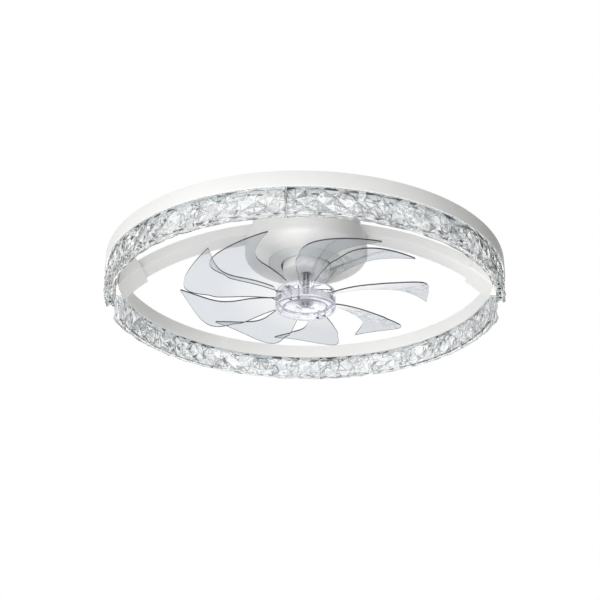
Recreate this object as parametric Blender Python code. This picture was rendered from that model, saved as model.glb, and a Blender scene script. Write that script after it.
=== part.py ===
# Crystal ceiling fan: a white ring on an arched bar, with a crystal band under the ring
# and a clear nine-blade fan in the middle.
#
# The frame: the origin is the centre of the ceiling face of the bracket, +Z is up,
# +X runs along the bar, and the side towards the photographer is -Y.
# All sizes are in metres. Everything hangs below z = 0.
#
# The hardest feature is the faceted clear channel: an open U whose outer and inner
# walls are broken into flat facets, bent round a quarter of the ring. It is made from
# one section with seeded height differences. The swept, twisted blades are lofted
# between two measured edge curves over one surface formula.

import math

import bmesh
import bpy
import numpy as np
from mathutils import Matrix, Vector

for leftover in list(bpy.data.objects):
    bpy.data.objects.remove(leftover, do_unlink=True)

# Shared clearances
GAP = 0.0003
HOLE_GAP = 0.0003
OVERRUN = 0.002
MERGE = 0.00001
FLAT_GAP = 0.0006

# Ring frame: an inverted channel
RING_R = 0.250
RING_DEPTH = 0.015
RING_WALL = 0.0015
RING_TOP_Z = -0.078
RING_HEIGHT = 0.0185
RING_STEPS = 72
RING_INNER_R = RING_R - RING_DEPTH
RING_BOTTOM_Z = RING_TOP_Z - RING_HEIGHT
RING_WEB_Z = RING_TOP_Z - RING_WALL
RING_POCKET_R = RING_R - RING_WALL
RING_SLEEVE_R = RING_INNER_R + RING_WALL

# Crystal channels under the ring
CRYSTAL_OUT_INSET = 0.0027
CRYSTAL_IN_INSET = 0.0021
CRYSTAL_WALL = 0.0027
CRYSTAL_FACET = 0.0009
CRYSTAL_TUCK = 0.0045
CRYSTAL_WEB = 0.003
CRYSTAL_DROP = 0.0302
CRYSTAL_COLUMNS = 20
CRYSTAL_R = RING_R - CRYSTAL_OUT_INSET
CRYSTAL_SLOT_OUT_R = CRYSTAL_R - CRYSTAL_WALL
CRYSTAL_IN_R = RING_INNER_R + CRYSTAL_IN_INSET
CRYSTAL_SLOT_IN_R = CRYSTAL_IN_R + CRYSTAL_WALL
CRYSTAL_TOP_Z = RING_BOTTOM_Z + CRYSTAL_TUCK
CRYSTAL_COLLAR_Z = RING_BOTTOM_Z - GAP
CRYSTAL_BOTTOM_Z = CRYSTAL_COLLAR_Z - CRYSTAL_DROP
CRYSTAL_SLOT_Z = CRYSTAL_TOP_Z - CRYSTAL_WEB
FACET_ROW_SHARES = (0.0, 0.25, 0.5, 0.75, 1.0)
FACET_LIFT_SHARES = (0.15, 1.0, 0.8, 1.0, 0.35)
SEAM_X = 0.014
SEAM_GAP = 0.0008
NEAR_LEFT_END_Y = 0.016
NEAR_RIGHT_END_Y = 0.028
FAR_LEFT_END_Y = 0.023
FAR_RIGHT_END_Y = 0.024

# Clear ribbed plugs in the ends of the crystal slots
PLUG_LENGTH = 0.0032
PLUG_RIB = 0.0012
PLUG_INSET = 0.0006
PLUG_RIBS = 5
PLUG_IN_R = CRYSTAL_SLOT_IN_R + FLAT_GAP
PLUG_OUT_R = CRYSTAL_SLOT_OUT_R - FLAT_GAP
PLUG_TOP_Z = CRYSTAL_SLOT_Z - GAP
PLUG_BOTTOM_Z = CRYSTAL_BOTTOM_Z + PLUG_RIB

# Light strips and their milky covers
STRIP_OUT_GAP = 0.0009
STRIP_IN_GAP = 0.0031
STRIP_THICK = 0.002
COVER_THICK = 0.0015
STRIP_STEPS = 20
STRIP_OUT_R = RING_POCKET_R - STRIP_OUT_GAP
STRIP_IN_R = RING_SLEEVE_R + STRIP_IN_GAP
STRIP_TOP_Z = RING_WEB_Z - GAP
STRIP_BOTTOM_Z = STRIP_TOP_Z - STRIP_THICK
COVER_BOTTOM_Z = CRYSTAL_TOP_Z + GAP
COVER_TOP_Z = COVER_BOTTOM_Z + COVER_THICK

# Canopy drum between the ceiling and the housing
CANOPY_R = 0.071
CANOPY_WALL = 0.0013
CANOPY_STEPS = 40
CANOPY_TOP_Z = -FLAT_GAP

# Ceiling bracket inside the canopy
BRACKET_END_GAP = 0.0117
BRACKET_WIDTH = 0.026
BRACKET_THICK = 0.0025
BRACKET_SLOT_END = 0.011
BRACKET_SLOT_R = 0.0026
BRACKET_SLOT_HALF = 0.004
BRACKET_LENGTH = 2 * (CANOPY_R - CANOPY_WALL - BRACKET_END_GAP)
BRACKET_SLOT_X = BRACKET_LENGTH / 2 - BRACKET_SLOT_END
BOLT_X = 0.030
BOLT_R = 0.0025
BOLT_HEAD_R = 0.0045
BOLT_HEAD = 0.0032
BOLT_STEPS = 12
BOLT_END_Z = -FLAT_GAP

# Arched crossbar: the underside is half an ellipse, from its crown under the bracket
# to where it meets the ring
BOW_THICK = 0.014
BOW_WIDTH = 0.028
BOW_CHAMFER = 0.0009
BOW_OVERSHOOT = 0.005
BOW_MEET_DROP = 0.0218
BOW_END_SHORT = 0.016
BOW_STEPS = 22
BOW_HALF_SPAN = RING_R + BOW_OVERSHOOT
BOW_CROWN_Z = -BRACKET_THICK - GAP - BOW_THICK
BOW_FALL = BOW_CROWN_Z - RING_TOP_Z + BOW_MEET_DROP
BOW_HEIGHT = BOW_FALL / (1 - math.sqrt(1 - (RING_INNER_R / BOW_HALF_SPAN) ** 2))
BOW_CENTRE_Z = BOW_CROWN_Z - BOW_HEIGHT
BOW_END_X = RING_INNER_R - BOW_END_SHORT

# Feet between the crossbar and the ring
FOOT_SIDE = 0.0075
FOOT_REACH = 0.028
FOOT_SKIN = 0.002
FOOT_STATIONS = 6
FOOT_COLUMNS = 5
FOOT_SCREW_Y = 0.012
FOOT_SCREW_DROP = 0.009
FOOT_SCREW_R = 0.0019
FOOT_SCREW_HEAD_R = 0.0034
FOOT_SCREW_HEAD = 0.0018
FOOT_SCREW_LENGTH = 0.010
FOOT_HOLE_DEPTH = 0.0105
FOOT_WIDTH = BOW_WIDTH + 2 * FOOT_SIDE
FOOT_START_X = RING_INNER_R - FOOT_REACH
FOOT_END_R = RING_INNER_R - FLAT_GAP
FOOT_SCREW_Z = RING_TOP_Z - FOOT_SCREW_DROP
FOOT_HOLE_END_X = RING_INNER_R - FOOT_HOLE_DEPTH

# Terminal block in the canopy
TERMINAL_LENGTH = 0.040
TERMINAL_WIDTH = 0.013
TERMINAL_HEIGHT = 0.010
TERMINAL_Y = 0.042
TERMINAL_EDGE = 0.0008

# Motor housing: a dish with a flat ledge below, hung close under the crossbar
HOUSING_OVERHANG = 0.008
HOUSING_BAR_GAP = 0.0014
HOUSING_WALL = 0.0015
HOUSING_EDGE = 0.0012
HOUSING_STEPS = 32
HOUSING_BORE_R = 0.012
HOUSING_SIDE = 0.0211
BOWL_DROP = 0.0133
LEDGE_INSET = 0.021
LEDGE_WIDTH = 0.010
BOWL_RADIUS_SHARES = (0.919, 0.69, 0.381)
BOWL_DROP_SHARES = (0.338, 0.639, 0.857)
HOUSING_R = CANOPY_R + HOUSING_OVERHANG
HOUSING_BAR_Z = BOW_CENTRE_Z + BOW_HEIGHT * math.sqrt(1 - (HOUSING_R / BOW_HALF_SPAN) ** 2)
HOUSING_TOP_Z = HOUSING_BAR_Z - HOUSING_BAR_GAP
HOUSING_FLOOR_Z = HOUSING_TOP_Z - HOUSING_WALL
HOUSING_SIDE_Z = HOUSING_TOP_Z - HOUSING_SIDE
CANOPY_BOTTOM_Z = HOUSING_TOP_Z + GAP
LEDGE_R = HOUSING_R - LEDGE_INSET
LEDGE_MOUTH_R = LEDGE_R - LEDGE_WIDTH
LEDGE_Z = HOUSING_SIDE_Z - BOWL_DROP
HOUSING_SCREW_X = 0.050
HOUSING_SCREW_R = 0.0019
HOUSING_SCREW_HEAD_R = 0.0036
HOUSING_SCREW_HEAD = 0.0018
HOUSING_SCREW_GRIP = 0.0076

# Motor case and its lid
CASE_R = 0.0303
CASE_HEIGHT = 0.0449
CASE_WALL = 0.0015
CASE_SHOULDER = 0.001
CASE_TAPER = 0.002
CASE_SHOULDER_RISE = 0.003
CASE_STRAIGHT_RISE = 0.0135
CASE_FLOOR = 0.0019
CASE_RIM = 0.0025
CASE_RECESS = 0.0012
CASE_HOLE_GAP = 0.0019
CASE_STEPS = 24
LID_THICK = 0.0017
SEAT_WALL = 0.0018
CASE_BOTTOM_R = CASE_R - CASE_TAPER
CASE_SHOULDER_R = CASE_R - CASE_SHOULDER
LID_TOP_Z = HOUSING_FLOOR_Z - GAP
LID_BOTTOM_Z = LID_TOP_Z - LID_THICK
CASE_TOP_Z = LID_BOTTOM_Z - GAP
CASE_BOTTOM_Z = CASE_TOP_Z - CASE_HEIGHT
CASE_SHOULDER_Z = CASE_BOTTOM_Z + CASE_SHOULDER_RISE
CASE_STRAIGHT_Z = CASE_BOTTOM_Z + CASE_STRAIGHT_RISE
MOTOR_SCREW_R = 0.0016
MOTOR_SCREW_HEAD_R = 0.0030
MOTOR_SCREW_HEAD = 0.0016
MOTOR_SCREW_INSET = 0.0063
MOTOR_SCREW_LENGTH = 0.0062
MOTOR_SCREW_PITCH_R = CASE_R - MOTOR_SCREW_INSET

# Motor cover: the pale flat ring below
COVER_FLANGE_INSET = 0.001
COVER_FLANGE = 0.0012
COVER_SIDE_GAP = 0.0004
COVER_MOUTH_GAP = 0.0017
COVER_FALL = 0.0037
COVER_WALL = 0.0014
COVER_STEPS = 32
COVER_FLANGE_R = LEDGE_R - COVER_FLANGE_INSET
COVER_NECK_R = LEDGE_MOUTH_R - COVER_SIDE_GAP
COVER_NECK_Z = LEDGE_Z
COVER_MOUTH_R = CASE_R + COVER_MOUTH_GAP
COVER_MOUTH_Z = COVER_NECK_Z - COVER_FALL

# Shaft and bearings
SHAFT_R = 0.0045
SHAFT_STEPS = 20
RUNNING_GAP = 0.0004
BEARING_WIDTH = 0.0036
BEARING_HEIGHT = 0.0043
BEARING_STEPS = 20
BEARING_R = SHAFT_R + BEARING_WIDTH
BEARING_BORE_R = SHAFT_R + RUNNING_GAP
SEAT_R = BEARING_R + GAP
CASE_RIM_R = SEAT_R + CASE_RIM
CASE_HOLE_R = SHAFT_R + CASE_HOLE_GAP
UPPER_SEAT_Z = LID_BOTTOM_Z - 2 * GAP
SHAFT_TOP_Z = UPPER_SEAT_Z
UPPER_BEARING_TOP_Z = UPPER_SEAT_Z - GAP
UPPER_BEARING_BOTTOM_Z = UPPER_BEARING_TOP_Z - BEARING_HEIGHT
LOWER_BEARING_BOTTOM_Z = CASE_BOTTOM_Z + CASE_RECESS + CASE_WALL + GAP
LOWER_BEARING_TOP_Z = LOWER_BEARING_BOTTOM_Z + BEARING_HEIGHT

# Motor inside: magnet on the shaft, iron core and nine windings
MAGNET_INSET = 0.0153
MAGNET_R = CASE_R - MAGNET_INSET
MAGNET_GAP = 0.0007
MAGNET_OVERHANG = 0.002
STATOR_SINK = 0.0119
STATOR_HEIGHT = 0.018
STATOR_YOKE = 0.0037
TOOTH_HALF = 0.0025
TEETH = 9
STATOR_STEPS = 27
STATOR_R = CASE_R - CASE_WALL - FLAT_GAP
STATOR_BORE_R = MAGNET_R + MAGNET_GAP
STATOR_SLOT_R = STATOR_R - STATOR_YOKE
STATOR_TOP_Z = CASE_TOP_Z - STATOR_SINK
STATOR_BOTTOM_Z = STATOR_TOP_Z - STATOR_HEIGHT
MAGNET_TOP_Z = STATOR_TOP_Z + MAGNET_OVERHANG
MAGNET_BOTTOM_Z = STATOR_BOTTOM_Z - MAGNET_OVERHANG
COIL_IN_GAP = 0.0015
COIL_OUT_GAP = 0.0013
COIL_THICK = 0.0013
COIL_RING_GAP = 0.002
COIL_RING_WIDTH = 0.0014
COIL_RING_RISE = 0.0009
COIL_RING_STEPS = 18
COIL_HALF = TOOTH_HALF + GAP
COIL_IN_R = STATOR_BORE_R + COIL_IN_GAP
COIL_OUT_R = STATOR_SLOT_R - COIL_OUT_GAP
COIL_RING_OUT_R = COIL_OUT_R - COIL_RING_GAP
COIL_RING_IN_R = COIL_RING_OUT_R - COIL_RING_WIDTH

# Electronic boxes between the motor and the housing's wall
DRIVER_LENGTH = 0.058
DRIVER_HEIGHT = 0.014
DRIVER_CASE_GAP = 0.0062
DRIVER_WALL_GAP = 0.0104
DRIVER_EDGE = 0.0012
DRIVER_NEAR_Y = CASE_R + DRIVER_CASE_GAP
DRIVER_FAR_Y = math.sqrt((HOUSING_R - HOUSING_WALL - DRIVER_WALL_GAP) ** 2
                         - (DRIVER_LENGTH / 2) ** 2)

# Hub of the rotor
HUB_R = 0.038
HUB_DROP = 0.027
HUB_HEIGHT = 0.0193
HUB_EDGE = 0.0010
HUB_WALL = 0.0016
HUB_BORE_GAP = 0.0007
HUB_STEPS = 32
HUB_TOP_Z = CASE_BOTTOM_Z - HUB_DROP
HUB_SHELL_Z = HUB_TOP_Z - HUB_HEIGHT
HUB_BORE_R = SHAFT_R + HUB_BORE_GAP
HUB_IN_R = HUB_R - HUB_WALL
HUB_ROOF_Z = HUB_TOP_Z - HUB_WALL
CAP_THICK = 0.0029
CAP_RING_INSET = 0.0075
CAP_RING_WIDTH = 0.0016
CAP_RING_DEPTH = 0.0007
CAP_TOP_Z = HUB_SHELL_Z - GAP
CAP_BOTTOM_Z = CAP_TOP_Z - CAP_THICK
CAP_RING_R = HUB_R - CAP_RING_INSET
CORE_SIDE_GAP = 0.0007
CORE_HEIGHT = 0.0089
CORE_STEPS = 24
CORE_R = HUB_IN_R - CORE_SIDE_GAP
CORE_TOP_Z = HUB_ROOF_Z - GAP
CORE_BOTTOM_Z = CORE_TOP_Z - CORE_HEIGHT
NUT_R = 0.0090
NUT_BORE_GAP = 0.0011
NUT_HEIGHT = 0.0050
NUT_SIDES = 6
NUT_BORE_R = SHAFT_R + NUT_BORE_GAP
NUT_TOP_Z = CORE_BOTTOM_Z - GAP
SHAFT_END_GAP = 0.0013
SHAFT_BOTTOM_Z = HUB_SHELL_Z + SHAFT_END_GAP
HUB_SCREW_R = 0.0010
HUB_SCREW_HEAD_R = 0.0020
HUB_SCREW_HEAD = 0.0010
HUB_SCREW_INSET = 0.003
HUB_SCREW_GRIP = 0.0053
HUB_SCREW_SINK = 0.0014
HUB_SCREW_PITCH_R = CORE_R - HUB_SCREW_INSET
HUB_SCREW_TOP_Z = CORE_BOTTOM_Z + HUB_SCREW_GRIP
HUB_SCREW_SEAT_Z = CAP_BOTTOM_Z + HUB_SCREW_SINK

# Blades
BLADES = 9
BLADE_TIP_R = 0.1595
BLADE_THICK = 0.0018
BLADE_TAB_DEPTH = 0.013
BLADE_TAB_HALF = 0.0034
BLADE_NECK_DEPTH = 0.004
BLADE_NECK_RUN = 0.0022
BLADE_NECK_OUT = 0.0008
BLADE_NECK_HALF = 0.0050
BLADE_FLARE = 0.007
BLADE_SPAN = 0.1270
BLADE_ROOT_SINK = 0.00085
BLADE_ROOT_DROP = 0.0055
BLADE_TIP_DROP = 0.01255
BLADE_CAMBER = 0.0029
BLADE_CAMBER_ARC = 0.050
BLADE_STATIONS = 11
BLADE_COLUMNS = 3
SLOT_CLEARANCE = 0.00035
BLADE_TAB_R = HUB_R - BLADE_TAB_DEPTH
BLADE_NECK_START_R = HUB_R - BLADE_NECK_DEPTH
BLADE_NECK_R = BLADE_NECK_START_R + BLADE_NECK_RUN
BLADE_NECK_END_R = HUB_R + BLADE_NECK_OUT
BLADE_FLARE_R = HUB_R + BLADE_FLARE
BLADE_ROOT_Z = HUB_TOP_Z - BLADE_ROOT_SINK
TAB_TUCK_R = BLADE_TAB_R - GAP

# The rounded edge of a screw head, as a share of its size
HEAD_EDGE_SHARE = 0.7

# Angles in degrees
BLADE_PITCH_ROOT = 18.85
BLADE_PITCH_TIP = 15.35
BLADE_START = -174.4
SMOOTH_ANGLE = 35.0

# The blade outline as shares of the tip radius and of the 40 degree blade spacing,
# first the trailing and outer edge from the hub to the tip, then the leading edge.
TRAILING_SHARES = ((0.2257, -0.2325), (0.4702, -0.19), (0.7022, -0.1475),
                   (0.7743, -0.0925), (0.9668, 0.09), (1.0, 0.84))
LEADING_SHARES = ((0.2257, 0.415), (0.5016, 0.40), (0.7524, 0.485), (1.0, 0.84))
BLADE_END_SHARE = 0.982
ROOT_BLEND_SHARE = 0.4

# The blades are not evenly spaced: this is each one's turn from an even spacing,
# as a share of that spacing, as seen in the photograph.
BLADE_TURN_SHARES = (0.175, -0.075, 0.145, -0.315, -0.18, 0.1625, 0.215, 0.08, 0.045)

# The two pairs of hub screws come after these blades, counted from nought.
HUB_SCREW_AFTER = (5, 1)
HUB_SCREW_SPREAD = 9.5


# Finishes: base colour, roughness, metal, see-through
FINISHES = {
    "white_paint": ((0.91, 0.91, 0.90), 0.30, 0.0, 0.0),
    "pale_paint": ((0.72, 0.73, 0.74), 0.35, 0.0, 0.0),
    "steel": ((0.55, 0.56, 0.58), 0.30, 1.0, 0.0),
    "dark_steel": ((0.12, 0.12, 0.13), 0.35, 1.0, 0.0),
    "crystal": ((0.93, 0.95, 0.97), 0.02, 0.0, 1.0),
    "clear_blade": ((0.90, 0.92, 0.95), 0.03, 0.0, 1.0),
    "milky": ((0.95, 0.95, 0.93), 0.45, 0.0, 0.3),
    "led_board": ((0.93, 0.92, 0.84), 0.55, 0.0, 0.0),
    "copper": ((0.72, 0.38, 0.20), 0.35, 1.0, 0.0),
    "magnet": ((0.10, 0.10, 0.11), 0.40, 0.5, 0.0),
    "driver_case": ((0.86, 0.86, 0.84), 0.50, 0.0, 0.0),
    "terminal": ((0.80, 0.82, 0.78), 0.50, 0.0, 0.0),
}


def finish_of(node_name, finish):
    """Give each node a material of its own."""
    colour, rough, metal, clear = FINISHES[finish]
    made = bpy.data.materials.new(node_name + "_" + finish)
    made.use_nodes = True
    shader = made.node_tree.nodes["Principled BSDF"]
    shader.inputs["Base Color"].default_value = (*colour, 1.0)
    shader.inputs["Roughness"].default_value = rough
    shader.inputs["Metallic"].default_value = metal
    shader.inputs["Transmission Weight"].default_value = clear
    return made


def clean(shape):
    """Merge doubled points and turn the faces outward."""
    bmesh.ops.remove_doubles(shape, verts=shape.verts, dist=MERGE)
    bmesh.ops.recalc_face_normals(shape, faces=shape.faces)
    return shape


def turned(profile, steps, closed=True):
    """Turn a profile of (radius, height) points about the Z axis."""
    shape = bmesh.new()
    points = [shape.verts.new((radius, 0.0, height)) for radius, height in profile]
    edges = [shape.edges.new(pair) for pair in zip(points, points[1:])]
    if closed:
        edges.append(shape.edges.new((points[-1], points[0])))
    bmesh.ops.spin(shape, geom=points + edges, cent=(0.0, 0.0, 0.0), axis=(0.0, 0.0, 1.0),
                   angle=2 * math.pi, steps=steps, use_merge=True)
    return clean(shape)


def ring_profile(inner, outer, bottom, top):
    """The four corners of a plain ring's section."""
    return ((inner, top), (outer, top), (outer, bottom), (inner, bottom))


def lofted(rings):
    """Join rings of points into a closed body with a flat face at each end."""
    shape = bmesh.new()
    rows = [[shape.verts.new(point) for point in ring] for ring in rings]
    count = len(rows[0])
    for low, high in zip(rows, rows[1:]):
        for i in range(count):
            j = (i + 1) % count
            shape.faces.new((low[i], low[j], high[j], high[i]))
    shape.faces.new(rows[0][::-1])
    shape.faces.new(rows[-1])
    return clean(shape)


def prism(outline, low, high):
    """Raise a flat outline from one height to another."""
    return lofted([[(x, y, height) for x, y in outline] for height in (low, high)])


def block(low, high):
    """A box between two corners."""
    corners = ((low[0], low[1]), (high[0], low[1]), (high[0], high[1]), (low[0], high[1]))
    return prism(corners, low[2], high[2])


def placed(shape, matrix):
    bmesh.ops.transform(shape, matrix=matrix, verts=shape.verts)
    bmesh.ops.recalc_face_normals(shape, faces=shape.faces)
    return shape


def facing(spot, direction):
    """The matrix that stands a +Z body at a spot, pointing along a direction."""
    turn = Vector(direction).to_track_quat("Z", "Y").to_matrix().to_4x4()
    return Matrix.Translation(spot) @ turn


def rod(spot, direction, radius, length, steps=8):
    """A round rod from a spot along a direction."""
    profile = ((0.0, length), (radius, length), (radius, 0.0), (0.0, 0.0))
    return placed(turned(profile, steps, closed=False), facing(spot, direction))


def screw(spot, direction, head_r, head, shank_r, length, steps=8):
    """A screw whose head's underside is at the spot and whose shank runs on."""
    profile = ((0.0, length), (shank_r, length), (shank_r, 0.0), (head_r, 0.0),
               (head_r, -head * HEAD_EDGE_SHARE), (head_r * HEAD_EDGE_SHARE, -head), (0.0, -head))
    return placed(turned(profile, steps, closed=False), facing(spot, direction))


def merged(name, shapes):
    """Put several shapes into one mesh."""
    mesh = bpy.data.meshes.new(name)
    whole = bmesh.new()
    for shape in shapes:
        part = bpy.data.meshes.new("part")
        shape.to_mesh(part)
        whole.from_mesh(part)
        bpy.data.meshes.remove(part)
        shape.free()
    whole.to_mesh(mesh)
    whole.free()
    return mesh


def node(name, shapes, finish, cuts=(), adds=(), edge=0.0, smooth=True):
    """Make one named node, with its cutters and its rounded edges."""
    body = bpy.data.objects.new(name, merged(name, shapes))
    bpy.context.collection.objects.link(body)
    body.data.materials.append(finish_of(name, finish))
    if smooth:
        body.data.shade_smooth()
        body.data.set_sharp_from_angle(angle=math.radians(SMOOTH_ANGLE))
    if edge:
        bevel = body.modifiers.new("edge", "BEVEL")
        bevel.width = edge
        bevel.segments = 1
        bevel.limit_method = "ANGLE"
    for operation, groups in (("UNION", adds), ("DIFFERENCE", cuts)):
        for index, group in enumerate(groups):
            tool_name = name + "_" + operation.lower() + str(index)
            tool = bpy.data.objects.new(tool_name, merged(tool_name, group))
            bpy.context.collection.objects.link(tool)
            tool.hide_render = True
            tool.display_type = "WIRE"
            change = body.modifiers.new(tool_name, "BOOLEAN")
            change.operation = operation
            change.solver = "EXACT"
            change.object = tool
    return body


def round_the_axis(radius, angle, height):
    return (radius * math.cos(angle), radius * math.sin(angle), height)


# Ring frame


def foot_screw_spots():
    """Both sides of both feet."""
    return [(side, row) for side in (-1.0, 1.0) for row in (-FOOT_SCREW_Y, FOOT_SCREW_Y)]


def make_ring_frame():
    profile = ((RING_R, RING_TOP_Z), (RING_R, RING_BOTTOM_Z),
               (RING_POCKET_R, RING_BOTTOM_Z), (RING_POCKET_R, RING_WEB_Z),
               (RING_SLEEVE_R, RING_WEB_Z), (RING_SLEEVE_R, RING_BOTTOM_Z),
               (RING_INNER_R, RING_BOTTOM_Z), (RING_INNER_R, RING_TOP_Z))
    start = RING_INNER_R - OVERRUN - OVERRUN
    length = RING_WALL + 3 * OVERRUN
    holes = [rod((side * start, row, FOOT_SCREW_Z), (side, 0.0, 0.0),
                 FOOT_SCREW_R + HOLE_GAP, length)
             for side, row in foot_screw_spots()]
    node("ring_frame", [turned(profile, RING_STEPS)], "white_paint", cuts=[holes])


# Crystal band


def band_angles():
    """Start and end angles of the four crystal channels."""
    middle = (CRYSTAL_IN_R + CRYSTAL_R) / 2
    seam = math.asin(SEAM_X / middle)
    half_gap = math.asin(SEAM_GAP / middle)
    quarter = math.pi / 2
    near_seam = -quarter - seam
    far_seam = quarter - seam
    return {
        "crystal_near_left": (-math.pi + math.asin(NEAR_LEFT_END_Y / middle),
                              near_seam - half_gap),
        "crystal_near_right": (near_seam + half_gap, -math.asin(NEAR_RIGHT_END_Y / middle)),
        "crystal_far_right": (math.asin(FAR_RIGHT_END_Y / middle), far_seam - half_gap),
        "crystal_far_left": (far_seam + half_gap,
                             math.pi - math.asin(FAR_LEFT_END_Y / middle)),
    }


def crystal_section(lifts_out, lifts_in):
    """The U section, its facet rows pushed out or in by the given shares."""
    drop = CRYSTAL_BOTTOM_Z - CRYSTAL_COLLAR_Z
    rows = [CRYSTAL_COLLAR_Z + share * drop for share in FACET_ROW_SHARES]
    outer = [(CRYSTAL_R + CRYSTAL_FACET * lift, row) for lift, row in zip(lifts_out, rows)]
    inner = [(CRYSTAL_IN_R - CRYSTAL_FACET * lift, row) for lift, row in zip(lifts_in, rows)]
    slot = [(CRYSTAL_SLOT_OUT_R, CRYSTAL_BOTTOM_Z), (CRYSTAL_SLOT_OUT_R, CRYSTAL_SLOT_Z),
            (CRYSTAL_SLOT_IN_R, CRYSTAL_SLOT_Z), (CRYSTAL_SLOT_IN_R, CRYSTAL_BOTTOM_Z)]
    return ([(CRYSTAL_R, CRYSTAL_TOP_Z)] + outer + slot + inner[::-1]
            + [(CRYSTAL_IN_R, CRYSTAL_TOP_Z)])


def make_crystals():
    """Four faceted channels. Every second facet point stands out, with seeded play."""
    chance = np.random.default_rng(7)
    for name, (start, end) in band_angles().items():
        rings = []
        for column in range(CRYSTAL_COLUMNS + 1):
            angle = start + (end - start) * column / CRYSTAL_COLUMNS
            lifts = []
            for side in range(2):
                play = chance.uniform(-1.0, 1.0, len(FACET_ROW_SHARES))
                sign = [1.0 if (row + column + side) % 2 else -1.0
                        for row in range(len(FACET_ROW_SHARES))]
                lifts.append([share * (0.55 * s + 0.45 * p) for share, s, p
                              in zip(FACET_LIFT_SHARES, sign, play)])
            rings.append([round_the_axis(radius, angle, height)
                          for radius, height in crystal_section(lifts[0], lifts[1])])
        node(name, [lofted(rings)], "crystal", smooth=False)


def make_end_plugs():
    """A ribbed plug in each slot end by the feet."""
    ends = band_angles()
    spots = (("near_left", ends["crystal_near_left"][0], 1.0),
             ("near_right", ends["crystal_near_right"][1], -1.0),
             ("far_right", ends["crystal_far_right"][0], 1.0),
             ("far_left", ends["crystal_far_left"][1], -1.0))
    pitch = (PLUG_TOP_Z - PLUG_BOTTOM_Z) / PLUG_RIBS
    for place, angle, inward in spots:
        outline = [(PLUG_LENGTH + PLUG_INSET, PLUG_BOTTOM_Z)]
        for rib in range(PLUG_RIBS):
            low = PLUG_BOTTOM_Z + rib * pitch
            outline.append((PLUG_INSET + PLUG_RIB, low))
            outline.append((PLUG_INSET, low + pitch / 2))
        outline.append((PLUG_INSET + PLUG_RIB, PLUG_TOP_Z))
        outline.append((PLUG_LENGTH + PLUG_INSET, PLUG_TOP_Z))
        rings = [[(radius, inward * along, height) for along, height in outline]
                 for radius in (PLUG_IN_R, PLUG_OUT_R)]
        plug = placed(lofted(rings), Matrix.Rotation(angle, 4, "Z"))
        node("end_plug_" + place, [plug], "crystal", smooth=False)


def arc_bar(start, end, inner, outer, bottom, top):
    """A square bar bent round the axis."""
    rings = []
    for step in range(STRIP_STEPS + 1):
        angle = start + (end - start) * step / STRIP_STEPS
        rings.append([round_the_axis(radius, angle, height)
                      for radius, height in ring_profile(inner, outer, bottom, top)])
    return lofted(rings)


def make_lights():
    ends = band_angles()
    halves = {"near": (ends["crystal_near_left"][0], ends["crystal_near_right"][1]),
              "far": (ends["crystal_far_right"][0], ends["crystal_far_left"][1])}
    for half, (start, end) in halves.items():
        strip = arc_bar(start, end, STRIP_IN_R, STRIP_OUT_R, STRIP_BOTTOM_Z, STRIP_TOP_Z)
        node("led_strip_" + half, [strip], "led_board")
        cover = arc_bar(start, end, STRIP_IN_R, STRIP_OUT_R, COVER_BOTTOM_Z, COVER_TOP_Z)
        node("light_cover_" + half, [cover], "milky")


# Arched crossbar and its feet


def bow_point(angle, lift):
    """A point on the arch, lifted off its underside along the normal."""
    normal = Vector((math.cos(angle) / BOW_HALF_SPAN, math.sin(angle) / BOW_HEIGHT)).normalized()
    return (BOW_HALF_SPAN * math.cos(angle) + normal.x * lift,
            BOW_CENTRE_Z + BOW_HEIGHT * math.sin(angle) + normal.y * lift)


def bow_angle(reach):
    """The angle on the ellipse where the underside is this far from the middle."""
    return math.acos(reach / BOW_HALF_SPAN)


def bow_piece(start, end, steps, half_width, low, high, chamfer=0.0):
    """Sweep a rectangle with broken corners along the arch."""
    section = [(-half_width + chamfer, low), (half_width - chamfer, low)]
    if chamfer:
        section += [(half_width, low + chamfer), (half_width, high - chamfer)]
    section += [(half_width - chamfer, high), (-half_width + chamfer, high)]
    if chamfer:
        section += [(-half_width, high - chamfer), (-half_width, low + chamfer)]
    rings = []
    for step in range(steps + 1):
        angle = start + (end - start) * step / steps
        ring = []
        for side, lift in section:
            across, height = bow_point(angle, lift)
            ring.append((across, side, height))
        rings.append(ring)
    return lofted(rings)


def bow_underside(reach):
    """The height of the arch's underside this far from the middle."""
    return BOW_CENTRE_Z + BOW_HEIGHT * math.sqrt(1 - (reach / BOW_HALF_SPAN) ** 2)


def bolt_seat():
    """Where the bolt heads press up against the arch."""
    return bow_underside(BOLT_X + BOLT_HEAD_R) - GAP


def housing_screw_end():
    """How far up into the bar the housing's screws go."""
    return bow_underside(HOUSING_SCREW_X) + HOUSING_SCREW_GRIP


def make_crossbar():
    start = bow_angle(BOW_END_X)
    bar = bow_piece(start, math.pi - start, BOW_STEPS, BOW_WIDTH / 2, 0.0, BOW_THICK, BOW_CHAMFER)
    bolts = [rod((side * BOLT_X, 0.0, bolt_seat() - OVERRUN), (0.0, 0.0, 1.0),
                 BOLT_R + HOLE_GAP, 2 * BOW_THICK) for side in (-1.0, 1.0)]
    depth = housing_screw_end() + GAP - HOUSING_TOP_Z
    screws = [rod((side * HOUSING_SCREW_X, 0.0, HOUSING_TOP_Z), (0.0, 0.0, 1.0),
                  HOUSING_SCREW_R + HOLE_GAP, depth) for side in (-1.0, 1.0)]
    node("crossbar", [bar], "white_paint", cuts=[bolts + screws])


def foot_curve(lift, reach):
    """Points of a curve beside the arch, from the foot's start out to the ring wall."""
    angles = np.linspace(bow_angle(FOOT_START_X), 0.1, 200)
    points = [bow_point(angle, lift) for angle in angles]
    across = np.array([point[0] for point in points])
    height = np.array([point[1] for point in points])
    last = np.interp(reach, across, angles)
    stations = np.linspace(angles[0], last, FOOT_STATIONS)
    return [bow_point(angle, lift) for angle in stations]


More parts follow.
